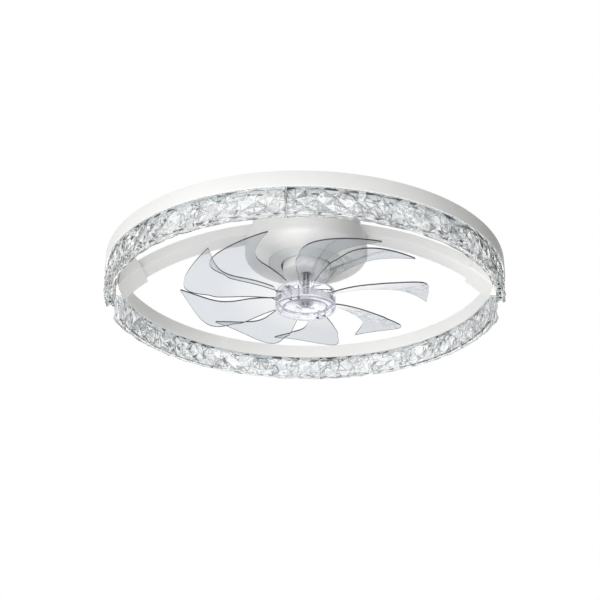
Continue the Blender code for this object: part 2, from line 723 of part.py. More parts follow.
def foot_body():
    """The right foot: wider than the bar, its outer face curved like the ring."""
    rings = []
    for side in np.linspace(-FOOT_WIDTH / 2, FOOT_WIDTH / 2, FOOT_COLUMNS):
        reach = math.sqrt(FOOT_END_R ** 2 - side ** 2)
        outline = foot_curve(-FOOT_SKIN, reach) + foot_curve(BOW_THICK + FOOT_SKIN, reach)[::-1]
        rings.append([(across, side, height) for across, height in outline])
    return lofted(rings)


def foot_pocket():
    """The room for the bar's end, with clearance all round."""
    stop = bow_angle(BOW_END_X + FLAT_GAP)
    mouth = bow_angle(FOOT_START_X - BOW_THICK)
    return bow_piece(stop, mouth, 8, BOW_WIDTH / 2 + GAP, -FLAT_GAP, BOW_THICK + GAP)


def make_feet():
    for name, side in (("foot_left", -1.0), ("foot_right", 1.0)):
        turn = Matrix.Rotation(math.pi if side < 0 else 0.0, 4, "Z")
        holes = [rod((FOOT_END_R + OVERRUN, row, FOOT_SCREW_Z), (-1.0, 0.0, 0.0),
                     FOOT_SCREW_R + HOLE_GAP, FOOT_END_R + OVERRUN - FOOT_HOLE_END_X)
                 for row in (-FOOT_SCREW_Y, FOOT_SCREW_Y)]
        cuts = [placed(shape, turn) for shape in [foot_pocket()] + holes]
        node(name, [placed(foot_body(), turn)], "white_paint", cuts=[cuts])


def make_foot_screws():
    seat = RING_SLEEVE_R + GAP
    for index, (side, row) in enumerate(foot_screw_spots()):
        body = screw((side * seat, row, FOOT_SCREW_Z), (-side, 0.0, 0.0), FOOT_SCREW_HEAD_R,
                     FOOT_SCREW_HEAD, FOOT_SCREW_R, FOOT_SCREW_LENGTH)
        node("foot_screw_" + str(index + 1), [body], "steel")


# Ceiling bracket, canopy and terminals


def make_bracket():
    strap = block((-BRACKET_LENGTH / 2, -BRACKET_WIDTH / 2, -BRACKET_THICK),
                  (BRACKET_LENGTH / 2, BRACKET_WIDTH / 2, 0.0))
    holes = [rod((side * BOLT_X, 0.0, -BRACKET_THICK - OVERRUN), (0.0, 0.0, 1.0),
                 BOLT_R + HOLE_GAP, BRACKET_THICK + 2 * OVERRUN) for side in (-1.0, 1.0)]
    for side in (-1.0, 1.0):
        low = (side * BRACKET_SLOT_X - BRACKET_SLOT_HALF, -BRACKET_SLOT_R, -BRACKET_THICK - OVERRUN)
        high = (side * BRACKET_SLOT_X + BRACKET_SLOT_HALF, BRACKET_SLOT_R, OVERRUN)
        holes.append(block(low, high))
    node("ceiling_bracket", [strap], "steel", cuts=[holes], smooth=False)


def make_bracket_bolts():
    for name, side in (("bracket_bolt_left", -1.0), ("bracket_bolt_right", 1.0)):
        body = screw((side * BOLT_X, 0.0, bolt_seat()), (0.0, 0.0, 1.0), BOLT_HEAD_R, BOLT_HEAD,
                     BOLT_R, BOLT_END_Z - bolt_seat(), BOLT_STEPS)
        node(name, [body], "steel")


def make_canopy():
    profile = ring_profile(CANOPY_R - CANOPY_WALL, CANOPY_R, CANOPY_BOTTOM_Z, CANOPY_TOP_Z)
    reach = CANOPY_R + OVERRUN
    wall = math.sqrt((CANOPY_R - CANOPY_WALL) ** 2 - (BOW_WIDTH / 2) ** 2)
    notch_top = bow_underside(wall) + BOW_THICK + 2 * FLAT_GAP
    notch = block((-reach, -BOW_WIDTH / 2 - GAP, CANOPY_BOTTOM_Z - OVERRUN),
                  (reach, BOW_WIDTH / 2 + GAP, notch_top))
    node("canopy", [turned(profile, CANOPY_STEPS)], "white_paint", cuts=[[notch]])


def make_terminals():
    base = HOUSING_TOP_Z + GAP
    body = block((-TERMINAL_LENGTH / 2, TERMINAL_Y - TERMINAL_WIDTH / 2, base),
                 (TERMINAL_LENGTH / 2, TERMINAL_Y + TERMINAL_WIDTH / 2, base + TERMINAL_HEIGHT))
    node("terminal_block", [body], "terminal", edge=TERMINAL_EDGE)


# Motor housing and cover


def motor_screw_spots(height):
    """One on each side, clear of the crossbar."""
    return [(0.0, side * MOTOR_SCREW_PITCH_R, height) for side in (-1.0, 1.0)]


def bowl_curve(inset):
    """The rounded lower edge of the dish, moved in by the wall thickness."""
    side = HOUSING_R - inset
    bottom = LEDGE_Z + inset
    ledge = LEDGE_R
    width = side - ledge
    drop = bottom - HOUSING_SIDE_Z
    points = [(side, HOUSING_SIDE_Z)]
    for radius_share, drop_share in zip(BOWL_RADIUS_SHARES, BOWL_DROP_SHARES):
        points.append((ledge + width * radius_share, HOUSING_SIDE_Z + drop * drop_share))
    return points + [(ledge, bottom), (LEDGE_MOUTH_R, bottom)]


def make_housing():
    outer = [(HOUSING_R - HOUSING_EDGE, HOUSING_TOP_Z), (HOUSING_R, HOUSING_TOP_Z - HOUSING_EDGE)]
    inner = [(HOUSING_R - HOUSING_WALL, HOUSING_FLOOR_Z), (HOUSING_BORE_R, HOUSING_FLOOR_Z)]
    profile = ([(HOUSING_BORE_R, HOUSING_TOP_Z)] + outer + bowl_curve(0.0)
               + bowl_curve(HOUSING_WALL)[::-1] + inner)
    top = [rod((side * HOUSING_SCREW_X, 0.0, HOUSING_FLOOR_Z - OVERRUN), (0.0, 0.0, 1.0),
               HOUSING_SCREW_R + HOLE_GAP, HOUSING_WALL + 2 * OVERRUN) for side in (-1.0, 1.0)]
    top += [rod(spot, (0.0, 0.0, 1.0), MOTOR_SCREW_R + HOLE_GAP, HOUSING_WALL + 2 * OVERRUN)
            for spot in motor_screw_spots(HOUSING_FLOOR_Z - OVERRUN)]
    node("motor_housing", [turned(profile, HOUSING_STEPS)], "white_paint", cuts=[top])


def make_housing_screws():
    seat = HOUSING_FLOOR_Z - GAP
    for name, side in (("housing_screw_left", -1.0), ("housing_screw_right", 1.0)):
        body = screw((side * HOUSING_SCREW_X, 0.0, seat), (0.0, 0.0, 1.0), HOUSING_SCREW_HEAD_R,
                     HOUSING_SCREW_HEAD, HOUSING_SCREW_R, housing_screw_end() - seat)
        node(name, [body], "steel")


def make_cover():
    flange_low = LEDGE_Z + HOUSING_WALL + GAP
    flange_top = flange_low + COVER_FLANGE
    neck = COVER_NECK_R - COVER_WALL
    profile = ((COVER_FLANGE_R, flange_top), (COVER_FLANGE_R, flange_low),
               (COVER_NECK_R, flange_low), (COVER_NECK_R, COVER_NECK_Z),
               (COVER_MOUTH_R, COVER_MOUTH_Z), (COVER_MOUTH_R, COVER_MOUTH_Z + COVER_WALL),
               (neck, COVER_NECK_Z + COVER_WALL), (neck, flange_top))
    node("motor_cover", [turned(profile, COVER_STEPS)], "pale_paint")


# Motor


def make_motor_case():
    floor = CASE_BOTTOM_Z + CASE_FLOOR
    seat_bottom = CASE_BOTTOM_Z + CASE_RECESS + CASE_WALL
    wall = CASE_R - CASE_WALL
    profile = ((CASE_R, CASE_TOP_Z), (CASE_R, CASE_STRAIGHT_Z),
               (CASE_SHOULDER_R, CASE_SHOULDER_Z), (CASE_BOTTOM_R, CASE_BOTTOM_Z),
               (CASE_RIM_R, CASE_BOTTOM_Z), (CASE_RIM_R - CASE_RECESS, CASE_BOTTOM_Z + CASE_RECESS),
               (CASE_HOLE_R, CASE_BOTTOM_Z + CASE_RECESS), (CASE_HOLE_R, seat_bottom),
               (SEAT_R, seat_bottom), (SEAT_R, LOWER_BEARING_TOP_Z),
               (SEAT_R + SEAT_WALL, LOWER_BEARING_TOP_Z), (SEAT_R + SEAT_WALL, floor + GAP),
               (CASE_BOTTOM_R - CASE_WALL, floor), (wall, CASE_STRAIGHT_Z), (wall, CASE_TOP_Z))
    node("motor_case", [turned(profile, CASE_STEPS)], "white_paint")


def make_end_plate():
    boss = SEAT_R + SEAT_WALL
    profile = ((CASE_HOLE_R, LID_TOP_Z), (CASE_R, LID_TOP_Z), (CASE_R, LID_BOTTOM_Z),
               (boss, LID_BOTTOM_Z), (boss, UPPER_BEARING_BOTTOM_Z),
               (SEAT_R, UPPER_BEARING_BOTTOM_Z), (SEAT_R, UPPER_SEAT_Z), (CASE_HOLE_R, UPPER_SEAT_Z))
    holes = [rod(spot, (0.0, 0.0, 1.0), MOTOR_SCREW_R + HOLE_GAP, LID_THICK + 2 * OVERRUN)
             for spot in motor_screw_spots(LID_BOTTOM_Z - OVERRUN)]
    node("motor_end_plate", [turned(profile, CASE_STEPS)], "steel", cuts=[holes])


def make_motor_screws():
    seat = HOUSING_TOP_Z + GAP
    for name, spot in zip(("motor_screw_near", "motor_screw_far"), motor_screw_spots(seat)):
        body = screw(spot, (0.0, 0.0, -1.0), MOTOR_SCREW_HEAD_R, MOTOR_SCREW_HEAD, MOTOR_SCREW_R,
                     MOTOR_SCREW_LENGTH)
        node(name, [body], "steel")


def make_bearings():
    for name, low, high in (("upper_bearing", UPPER_BEARING_BOTTOM_Z, UPPER_BEARING_TOP_Z),
                            ("lower_bearing", LOWER_BEARING_BOTTOM_Z, LOWER_BEARING_TOP_Z)):
        node(name, [turned(ring_profile(BEARING_BORE_R, BEARING_R, low, high), BEARING_STEPS)],
             "steel")


def make_stator():
    """An iron ring with nine slots between nine straight teeth."""
    core = turned(ring_profile(STATOR_BORE_R, STATOR_R, STATOR_BOTTOM_Z, STATOR_TOP_Z), STATOR_STEPS)
    half_pitch = math.pi / TEETH
    mouth_r = STATOR_BORE_R - OVERRUN / 2
    mouth = half_pitch - math.asin(TOOTH_HALF / mouth_r)
    base = half_pitch - math.asin(TOOTH_HALF / STATOR_SLOT_R)
    slots = []
    for tooth in range(TEETH):
        middle = half_pitch + 2 * half_pitch * tooth
        outline = [(radius * math.cos(middle + turn), radius * math.sin(middle + turn))
                   for radius, turn in ((mouth_r, -mouth), (STATOR_SLOT_R, -base),
                                        (STATOR_SLOT_R, 0.0), (STATOR_SLOT_R, base),
                                        (mouth_r, mouth))]
        slots.append(prism(outline, STATOR_BOTTOM_Z - OVERRUN / 2, STATOR_TOP_Z + OVERRUN / 2))
    node("motor_stator", [core], "steel", cuts=[slots], smooth=False)


def make_coils():
    """Nine windings, one round each tooth, joined by the ring of their leads."""
    coils = []
    inner_top = STATOR_TOP_Z + GAP
    inner_low = STATOR_BOTTOM_Z - GAP
    for tooth in range(TEETH):
        shape = bmesh.new()
        rows = []
        for radius in (COIL_IN_R, COIL_OUT_R):
            for grow in (0.0, COIL_THICK):
                half = COIL_HALF + grow
                corners = ((-half, inner_low - grow), (half, inner_low - grow),
                           (half, inner_top + grow), (-half, inner_top + grow))
                rows.append([shape.verts.new((radius, side, height)) for side, height in corners])
        for first, second in ((0, 1), (1, 3), (3, 2), (2, 0)):
            for i in range(4):
                j = (i + 1) % 4
                shape.faces.new((rows[first][i], rows[first][j], rows[second][j], rows[second][i]))
        turn = Matrix.Rotation(2 * math.pi * tooth / TEETH, 4, "Z")
        coils.append(placed(clean(shape), turn))
    low = inner_top + COIL_THICK / 2
    leads = turned(ring_profile(COIL_RING_IN_R, COIL_RING_OUT_R, low,
                                low + COIL_RING_RISE), COIL_RING_STEPS)
    node("motor_coils", [leads], "copper", adds=[coils], smooth=False)


def make_drivers():
    top = HOUSING_FLOOR_Z - GAP
    for name, side in (("fan_driver", 1.0), ("light_driver", -1.0)):
        low, high = sorted((side * DRIVER_NEAR_Y, side * DRIVER_FAR_Y))
        body = block((-DRIVER_LENGTH / 2, low, top - DRIVER_HEIGHT),
                     (DRIVER_LENGTH / 2, high, top))
        node(name, [body], "driver_case", edge=DRIVER_EDGE)


# Rotor


def blade_angle(index):
    """Where a blade's root points, from the even spacing and its own turn."""
    spacing = 2 * math.pi / BLADES
    return math.radians(BLADE_START) + spacing * (index + BLADE_TURN_SHARES[index])


def blade_height(radius, arc):
    """The blade's middle surface: a slope out to the tip, a twist, a little camber,
    and a flat slanted root that blends into the rest."""
    share = np.clip((radius - BLADE_NECK_END_R) / BLADE_SPAN, 0.0, None)
    pitch = np.radians(BLADE_PITCH_ROOT + (BLADE_PITCH_TIP - BLADE_PITCH_ROOT) * share)
    root = np.clip(1.0 - share / ROOT_BLEND_SHARE, 0.0, 1.0) ** 2
    camber = BLADE_CAMBER * (arc / BLADE_CAMBER_ARC) ** 2 * np.clip(share / ROOT_BLEND_SHARE, 0, 1)
    return (BLADE_ROOT_Z - BLADE_TIP_DROP * share + np.tan(pitch) * arc - camber
            - BLADE_ROOT_DROP * root)


def curve_through(shares, samples=120):
    """A smooth curve in the plane through outline points given as shares."""
    spacing = 2 * math.pi / BLADES
    radii = np.array([share[0] for share in shares]) * BLADE_TIP_R
    turns = np.array([share[1] for share in shares]) * spacing
    points = np.stack([radii * np.cos(turns), radii * np.sin(turns)], axis=1)
    count = len(points)
    system = np.eye(count)
    right = np.zeros((count, 2))
    for i in range(1, count - 1):
        system[i, i - 1:i + 2] = (1.0, 4.0, 1.0)
        right[i] = 6.0 * (points[i + 1] - 2.0 * points[i] + points[i - 1])
    bend = np.linalg.solve(system, right)
    place = np.linspace(0.0, count - 1.0, samples)
    low = np.minimum(place.astype(int), count - 2)
    t = (place - low)[:, None]
    return ((1 - t) * points[low] + t * points[low + 1]
            + ((1 - t) ** 3 - (1 - t)) * bend[low] / 6.0 + (t ** 3 - t) * bend[low + 1] / 6.0)


def blade_edge(shares):
    """The part of an edge beyond the flare, at even steps along its length."""
    curve = curve_through(shares)
    curve = curve[np.hypot(curve[:, 0], curve[:, 1]) > BLADE_FLARE_R]
    run = np.concatenate([[0.0], np.cumsum(np.linalg.norm(np.diff(curve, axis=0), axis=1))])
    steps = np.linspace(0.0, BLADE_END_SHARE, BLADE_STATIONS) * run[-1]
    return np.stack([np.interp(steps, run, curve[:, 0]), np.interp(steps, run, curve[:, 1])], 1)


def blade_rings():
    """Cross sections from the root tab to the tip."""
    pairs = [(np.array((radius, -half)), np.array((radius, half)))
             for radius, half in ((BLADE_TAB_R, BLADE_TAB_HALF),
                                  (BLADE_NECK_START_R, BLADE_TAB_HALF),
                                  (BLADE_NECK_R, BLADE_NECK_HALF),
                                  (BLADE_NECK_END_R, BLADE_NECK_HALF))]
    pairs += list(zip(blade_edge(TRAILING_SHARES), blade_edge(LEADING_SHARES)))
    rings = []
    for trailing, leading in pairs:
        top, bottom = [], []
        for column in range(BLADE_COLUMNS):
            spot = trailing + (leading - trailing) * column / (BLADE_COLUMNS - 1)
            radius = math.hypot(spot[0], spot[1])
            arc = radius * math.atan2(spot[1], spot[0])
            height = float(blade_height(radius, arc))
            top.append((spot[0], spot[1], height + BLADE_THICK / 2))
            bottom.append((spot[0], spot[1], height - BLADE_THICK / 2))
        rings.append(bottom + top[::-1])
    return rings


def make_blades():
    for index in range(BLADES):
        turn = Matrix.Rotation(blade_angle(index), 4, "Z")
        node("blade_" + str(index + 1), [placed(lofted(blade_rings()), turn)], "clear_blade")


def root_slots(spans):
    """Slanted slots for the blade roots, clear all round. Each span is its start radius,
    its end radius and the half width of the root there."""
    tilt = math.radians(BLADE_PITCH_ROOT)
    thick = BLADE_THICK / 2 + SLOT_CLEARANCE
    side = []
    for start, end, half in spans:
        grown = half / math.cos(tilt) + SLOT_CLEARANCE
        side += [(start, grown), (end, grown)]
    outline = [(reach, -across) for reach, across in side] + side[::-1]
    height = float(blade_height(BLADE_TAB_R, 0.0))
    lie = Matrix.Translation((0.0, 0.0, height)) @ Matrix.Rotation(tilt, 4, "X")
    return [placed(prism(outline, -thick, thick),
                   Matrix.Rotation(blade_angle(index), 4, "Z") @ lie) for index in range(BLADES)]


def hub_screw_angles():
    spots = []
    for first in HUB_SCREW_AFTER:
        last = (first + 1) % BLADES
        gap = (blade_angle(last) - blade_angle(first)) % (2 * math.pi)
        middle = blade_angle(first) + gap / 2
        spots += [middle - math.radians(HUB_SCREW_SPREAD), middle + math.radians(HUB_SCREW_SPREAD)]
    return spots


def make_shaft():
    profile = ((0.0, SHAFT_TOP_Z), (SHAFT_R, SHAFT_TOP_Z), (SHAFT_R, SHAFT_BOTTOM_Z),
               (0.0, SHAFT_BOTTOM_Z))
    node("shaft", [turned(profile, SHAFT_STEPS, closed=False)], "dark_steel")
    magnet = ring_profile(BEARING_BORE_R, MAGNET_R, MAGNET_BOTTOM_Z, MAGNET_TOP_Z)
    node("rotor_magnet", [turned(magnet, BEARING_STEPS)], "magnet")


def make_hub():
    shell = ((HUB_BORE_R, HUB_TOP_Z), (HUB_R - HUB_EDGE, HUB_TOP_Z), (HUB_R, HUB_TOP_Z - HUB_EDGE),
             (HUB_R, HUB_SHELL_Z), (HUB_IN_R, HUB_SHELL_Z), (HUB_IN_R, HUB_ROOF_Z),
             (HUB_BORE_R, HUB_ROOF_Z))
    node("hub_shell", [turned(shell, HUB_STEPS)], "clear_blade",
         cuts=[root_slots([(CORE_R, HUB_R + OVERRUN, BLADE_NECK_HALF)])])
    core = ring_profile(BEARING_BORE_R, CORE_R, CORE_BOTTOM_Z, CORE_TOP_Z)
    length = HUB_SCREW_TOP_Z - CORE_BOTTOM_Z + OVERRUN
    holes = [rod(round_the_axis(HUB_SCREW_PITCH_R, angle, CORE_BOTTOM_Z - OVERRUN),
                 (0.0, 0.0, 1.0), HUB_SCREW_R + HOLE_GAP, length + HOLE_GAP, 8)
             for angle in hub_screw_angles()]
    wide_r = BLADE_NECK_START_R - GAP
    tabs = root_slots([(TAB_TUCK_R, wide_r, BLADE_TAB_HALF),
                       (wide_r, CORE_R + OVERRUN, BLADE_NECK_HALF)])
    node("hub_core", [turned(core, CORE_STEPS)], "clear_blade", cuts=[tabs + holes])
    ring_low = CAP_BOTTOM_Z + CAP_RING_DEPTH
    cap = ((0.0, CAP_TOP_Z), (HUB_R, CAP_TOP_Z), (HUB_R, CAP_BOTTOM_Z + HUB_EDGE),
           (HUB_R - HUB_EDGE, CAP_BOTTOM_Z), (CAP_RING_R, CAP_BOTTOM_Z), (CAP_RING_R, ring_low),
           (CAP_RING_R - CAP_RING_WIDTH, ring_low), (CAP_RING_R - CAP_RING_WIDTH, CAP_BOTTOM_Z),
           (0.0, CAP_BOTTOM_Z))
    bores = []
    for angle in hub_screw_angles():
        profile = ((0.0, CAP_TOP_Z + OVERRUN), (HUB_SCREW_R + HOLE_GAP, CAP_TOP_Z + OVERRUN),
                   (HUB_SCREW_R + HOLE_GAP, HUB_SCREW_SEAT_Z),
                   (HUB_SCREW_HEAD_R + HOLE_GAP, HUB_SCREW_SEAT_Z),
                   (HUB_SCREW_HEAD_R + HOLE_GAP, CAP_BOTTOM_Z - OVERRUN),
                   (0.0, CAP_BOTTOM_Z - OVERRUN))
        spot = Matrix.Translation(round_the_axis(HUB_SCREW_PITCH_R, angle, 0.0))
        bores.append(placed(turned(profile, 8, closed=False), spot))
    node("hub_cap", [turned(cap, HUB_STEPS, closed=False)], "clear_blade", cuts=[bores])
    nut = ring_profile(NUT_BORE_R, NUT_R, NUT_TOP_Z - NUT_HEIGHT, NUT_TOP_Z)
    node("hub_nut", [turned(nut, NUT_SIDES)], "steel", smooth=False)
    seat = HUB_SCREW_SEAT_Z - GAP
    for index, angle in enumerate(hub_screw_angles()):
        body = screw(round_the_axis(HUB_SCREW_PITCH_R, angle, seat), (0.0, 0.0, 1.0),
                     HUB_SCREW_HEAD_R, HUB_SCREW_HEAD, HUB_SCREW_R, HUB_SCREW_TOP_Z - seat, 8)
        node("hub_screw_" + str(index + 1), [body], "dark_steel")


for make in (make_ring_frame, make_crystals, make_end_plugs, make_lights,
             make_crossbar, make_feet, make_foot_screws, make_bracket, make_bracket_bolts,
             make_canopy, make_terminals, make_housing, make_housing_screws,
             make_cover, make_motor_case, make_end_plate, make_motor_screws, make_bearings,
             make_stator, make_coils, make_drivers, make_shaft, make_hub, make_blades):
    make()
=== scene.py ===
# %% [markdown]
# # The looks of a crystal ceiling fan
# This lesson dresses a finished CAD model: a white ring on an arched bar, a band of
# faceted clear acrylic under the ring, and a clear nine-blade fan in the middle.
# The CAD model hangs under the ceiling plane z = 0, +X runs along the bar and the
# photographer stands on the -Y side, below the lamp. All lengths are in metres.

import math

import bpy
import numpy as np
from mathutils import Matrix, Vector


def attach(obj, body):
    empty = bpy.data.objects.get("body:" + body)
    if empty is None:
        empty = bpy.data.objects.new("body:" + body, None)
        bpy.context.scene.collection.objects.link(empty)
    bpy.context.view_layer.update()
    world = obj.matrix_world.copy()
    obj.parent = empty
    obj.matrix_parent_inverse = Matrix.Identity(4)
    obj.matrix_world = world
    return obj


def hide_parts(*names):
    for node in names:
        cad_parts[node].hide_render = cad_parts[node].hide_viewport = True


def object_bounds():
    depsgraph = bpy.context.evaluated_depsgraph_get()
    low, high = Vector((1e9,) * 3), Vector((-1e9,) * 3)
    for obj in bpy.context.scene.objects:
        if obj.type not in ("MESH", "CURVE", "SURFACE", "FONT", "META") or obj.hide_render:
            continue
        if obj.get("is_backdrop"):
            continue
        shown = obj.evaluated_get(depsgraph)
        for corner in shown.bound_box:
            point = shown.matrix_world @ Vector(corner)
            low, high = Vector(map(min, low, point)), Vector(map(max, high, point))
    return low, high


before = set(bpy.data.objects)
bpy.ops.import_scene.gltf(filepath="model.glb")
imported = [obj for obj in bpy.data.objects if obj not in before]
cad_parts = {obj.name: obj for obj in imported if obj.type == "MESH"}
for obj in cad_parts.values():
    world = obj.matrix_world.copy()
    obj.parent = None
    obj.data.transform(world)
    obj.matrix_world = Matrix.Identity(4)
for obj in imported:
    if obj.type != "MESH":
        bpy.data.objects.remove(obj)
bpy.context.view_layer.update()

# %% [markdown]
# ## Tools for surfaces
# Every new piece is a surface over a grid: rows of points times columns of points.
# The grid can close on itself along its rows, along its columns or both, so one
# function lists the faces of them all.

# %% A grid's faces


def lattice(rows, columns, wrap_rows=False, wrap_columns=False):
    """Four corner numbers for each cell of a grid of rows by columns of points."""
    across, along = np.meshgrid(np.arange(rows if wrap_rows else rows - 1),
                                np.arange(columns if wrap_columns else columns - 1),
                                indexing="ij")
    next_row, next_column = (across + 1) % rows, (along + 1) % columns
    cells = (across * columns + along, across * columns + next_column,
             next_row * columns + next_column, next_row * columns + along)
    return np.stack(cells, axis=-1).reshape(-1, 4)


print("cells of a 3 by 4 grid:", len(lattice(3, 4)))

# %% [markdown]
# A piece is made from its points and its faces. The volume that the faces enclose
# has a sign, which tells whether they face outward: the sum over all triangles of
# the box product of their corners, over six. If it is negative, all faces turn round.

# %% Points and faces to a piece


def enclosed(points, faces):
    """The signed volume inside closed faces: a sixth of the sum, over all triangles, of
    one corner times the cross product of the other two."""
    total = 0.0
    for group in faces:
        first = points[group[:, 0]]
        for turn in range(1, group.shape[1] - 1):
            second, third = points[group[:, turn]], points[group[:, turn + 1]]
            total += np.einsum("ij,ij->", first, np.cross(second, third)) / 6
    return total


def piece(name, points, faces, body, looks=(), stands_for=(), slot=None, sharp=28.0):
    """One finished piece: points as an (n, 3) array, faces as a list of index arrays.
    Edges that bend more than the sharp angle stay crisp; a sharp angle of 0 is all flat.
    Its looks are its materials, the first one for every face that names no other."""
    points = np.asarray(points, float)
    if enclosed(points, faces) < 0:
        faces = [group[:, ::-1] for group in faces]
    mesh = bpy.data.meshes.new(name)
    mesh.from_pydata(points.tolist(), [], [face for group in faces for face in group.tolist()])
    mesh.update()
    if sharp:
        mesh.shade_smooth()
        mesh.set_sharp_from_angle(angle=math.radians(sharp))
    for look in looks:
        mesh.materials.append(look)
    made = bpy.data.objects.new(name, mesh)
    bpy.context.collection.objects.link(made)
    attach(made, body)
    if stands_for:
        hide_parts(*stands_for)
    print(name, "has", len(mesh.polygons), "faces")
    return made


wedge = np.array(((0, 0, 0), (1, 0, 0), (0, 1, 0), (0, 0, 1)), float)
sides = [np.array(((0, 2, 1), (0, 1, 3), (1, 2, 3), (0, 3, 2)))]
print("volume of a unit cube's corner:", round(enclosed(wedge, sides), 4))

# %% [markdown]
# Metal, moulded and turned parts have no knife edges, and a broken edge catches a
# thin line of light. Each corner of a profile is swapped for a short curve between
# two points on its sides (a parabola, which is close to an arc at this size).

# %% Broken edges and turned bodies


def rounded(corners, radius, steps=5, closed=True):
    """Each corner becomes a parabola between a start and an end on its two sides: with t
    the share already run, the start times (1 - t) squared, plus the corner times twice
    t times (1 - t), plus the end times t squared. The radius is how far the start and
    the end lie from the corner, at most 0.45 of the side."""
    corners = np.array(corners, float)
    back, ahead = np.roll(corners, 1, 0) - corners, np.roll(corners, -1, 0) - corners
    back_run = np.linalg.norm(back, axis=1, keepdims=True)
    ahead_run = np.linalg.norm(ahead, axis=1, keepdims=True)
    reach = np.minimum(radius, 0.45 * np.minimum(back_run, ahead_run))
    if not closed:
        reach[[0, -1]] = 0.0
    t = np.linspace(0, 1, steps)[None, :, None]
    start = (corners + back / back_run * reach)[:, None]
    end = (corners + ahead / ahead_run * reach)[:, None]
    curve = ((1 - t) ** 2 * start + 2 * t * (1 - t) * corners[:, None] + t ** 2 * end)
    curve = curve.reshape(-1, 2)
    keep = np.linalg.norm(curve - np.roll(curve, 1, 0), axis=1) > 1e-7
    return curve[keep]


def turned(profile, steps):
    """Points of a profile turned about the Z axis, row by row: X is the radius times the
    cosine of the angle, Y the radius times its sine, and the height stays."""
    angles = np.linspace(0, 2 * np.pi, steps, endpoint=False)
    radius, height = profile[:, :1], profile[:, 1:]
    return np.stack([radius * np.cos(angles), radius * np.sin(angles),
                     height + 0 * angles], axis=-1).reshape(-1, 3)


def turned_ring(name, corners, edge, steps, body, **extra):
    """A ring turned from a closed profile of (radius, height)."""
    profile = rounded(corners, edge)
    faces = [lattice(len(profile), steps, True, True)]
    return piece(name, turned(profile, steps), faces, body, **extra)


def turned_solid(name, corners, edge, steps, body, **extra):
    """A solid turned from a profile of (radius, height) that starts and ends on the axis."""
    profile = rounded(corners, edge, closed=False)
    rows = len(profile) - 2
    points = turned(profile[1:-1], steps)
    tips = np.array([[0, 0, profile[0, 1]], [0, 0, profile[-1, 1]]])
    around = np.arange(steps)
    ahead = (around + 1) % steps
    top = np.stack([np.full(steps, rows * steps), ahead, around], axis=1)
    last = (rows - 1) * steps
    bottom = np.stack([np.full(steps, rows * steps + 1), last + around, last + ahead], axis=1)
    faces = [lattice(rows, steps, False, True), top, bottom]
    return piece(name, np.vstack([points, tips]), faces, body, **extra)


square = ((0, 0), (1, 0), (1, 1), (0, 1))
print("points of a square with broken corners:", len(rounded(square, 0.1)))

# %% [markdown]
# ## Tools for finishes
# A finish is a small node tree. One helper adds any node with its settings and
# links, and one turns a colour as a designer writes it (sRGB hex) into the linear
# values that light is reckoned in.

# %% Colours and nodes


def ink(code):
    """An sRGB hex colour as linear red, green, blue and one."""
    parts = np.array([int(code[i:i + 2], 16) for i in (1, 3, 5)]) / 255
    linear = np.where(parts <= 0.04045, parts / 12.92, ((parts + 0.055) / 1.055) ** 2.4)
    return (*[float(v) for v in linear], 1.0)


def add(tree, kind, settings=None, links=None):
    """Add a node: settings fill its inputs or properties, links join its inputs."""
    made = tree.nodes.new(kind)
    for key, value in (settings or {}).items():
        if key in made.inputs:
            made.inputs[key].default_value = value
        else:
            setattr(made, key, value)
    for key, source in (links or {}).items():
        tree.links.new(source, made.inputs[key])
    return made


def object_place(tree):
    """The place on the piece in metres, from Object coordinates."""
    return add(tree, "ShaderNodeTexCoord").outputs["Object"]


def reckon(tree, operation, *terms, **settings):
    """The result of a Math node whose terms are sockets or plain numbers."""
    made = add(tree, "ShaderNodeMath", {"operation": operation, **settings})
    for socket, term in zip(made.inputs, terms):
        if isinstance(term, bpy.types.NodeSocket):
            tree.links.new(term, socket)
        else:
            socket.default_value = term
    return made.outputs["Value"]


def inked(tree, source, codes, stops=(0.0, 1.0), interpolation="LINEAR"):
    """A colour that runs through inks as a source goes through stops from 0 to 1."""
    ramp = add(tree, "ShaderNodeValToRGB", {}, {"Fac": source})
    ramp.color_ramp.interpolation = interpolation
    while len(ramp.color_ramp.elements) < len(codes):
        ramp.color_ramp.elements.new(0.5)
    for spot, stop, code in zip(ramp.color_ramp.elements, stops, codes):
        spot.position, spot.color = stop, ink(code)
    return ramp.outputs["Color"]


def finish(name, settings):
    """A new material with a Principled shader; returns it with its tree and shader."""
    made = bpy.data.materials.new(name)
    made.use_nodes = True
    shader = made.node_tree.nodes["Principled BSDF"]
    for key, value in settings.items():
        shader.inputs[key].default_value = value
    print("finish:", name)
    return made, made.node_tree, shader


print("mid grey in linear light:", round(ink("#808080")[0], 3))

# %% [markdown]
# Two habits are shared by many finishes: a fine relief in the surface, and a colour
# that wanders a little between two inks. Both read Object coordinates in metres, so
# a scale of 700 gives marks of about one and a half millimetres.

# %% Relief and wandering colour


def relief(tree, shader, scale, strength, depth, detail=2.0):
    """A noise relief of a given depth in metres under the shader's light."""
    noise = add(tree, "ShaderNodeTexNoise", {"Scale": scale, "Detail": detail},
                {"Vector": object_place(tree)})
    bump = add(tree, "ShaderNodeBump", {"Strength": strength, "Distance": depth},
               {"Height": noise.outputs["Fac"]})
    tree.links.new(bump.outputs["Normal"], shader.inputs["Normal"])


def wander(tree, shader, socket, low, high, scale):
    """Let a socket move between two inks or two values with a soft noise."""
    noise = add(tree, "ShaderNodeTexNoise", {"Scale": scale, "Detail": 3.0},
                {"Vector": object_place(tree)})
    ramp = add(tree, "ShaderNodeValToRGB", {}, {"Fac": noise.outputs["Fac"]})
    for spot, stop, value in zip(ramp.color_ramp.elements, (0.35, 0.65), (low, high)):
        spot.position = stop
        spot.color = ink(value) if isinstance(value, str) else (value, value, value, 1.0)
    tree.links.new(ramp.outputs["Color"], shader.inputs[socket])


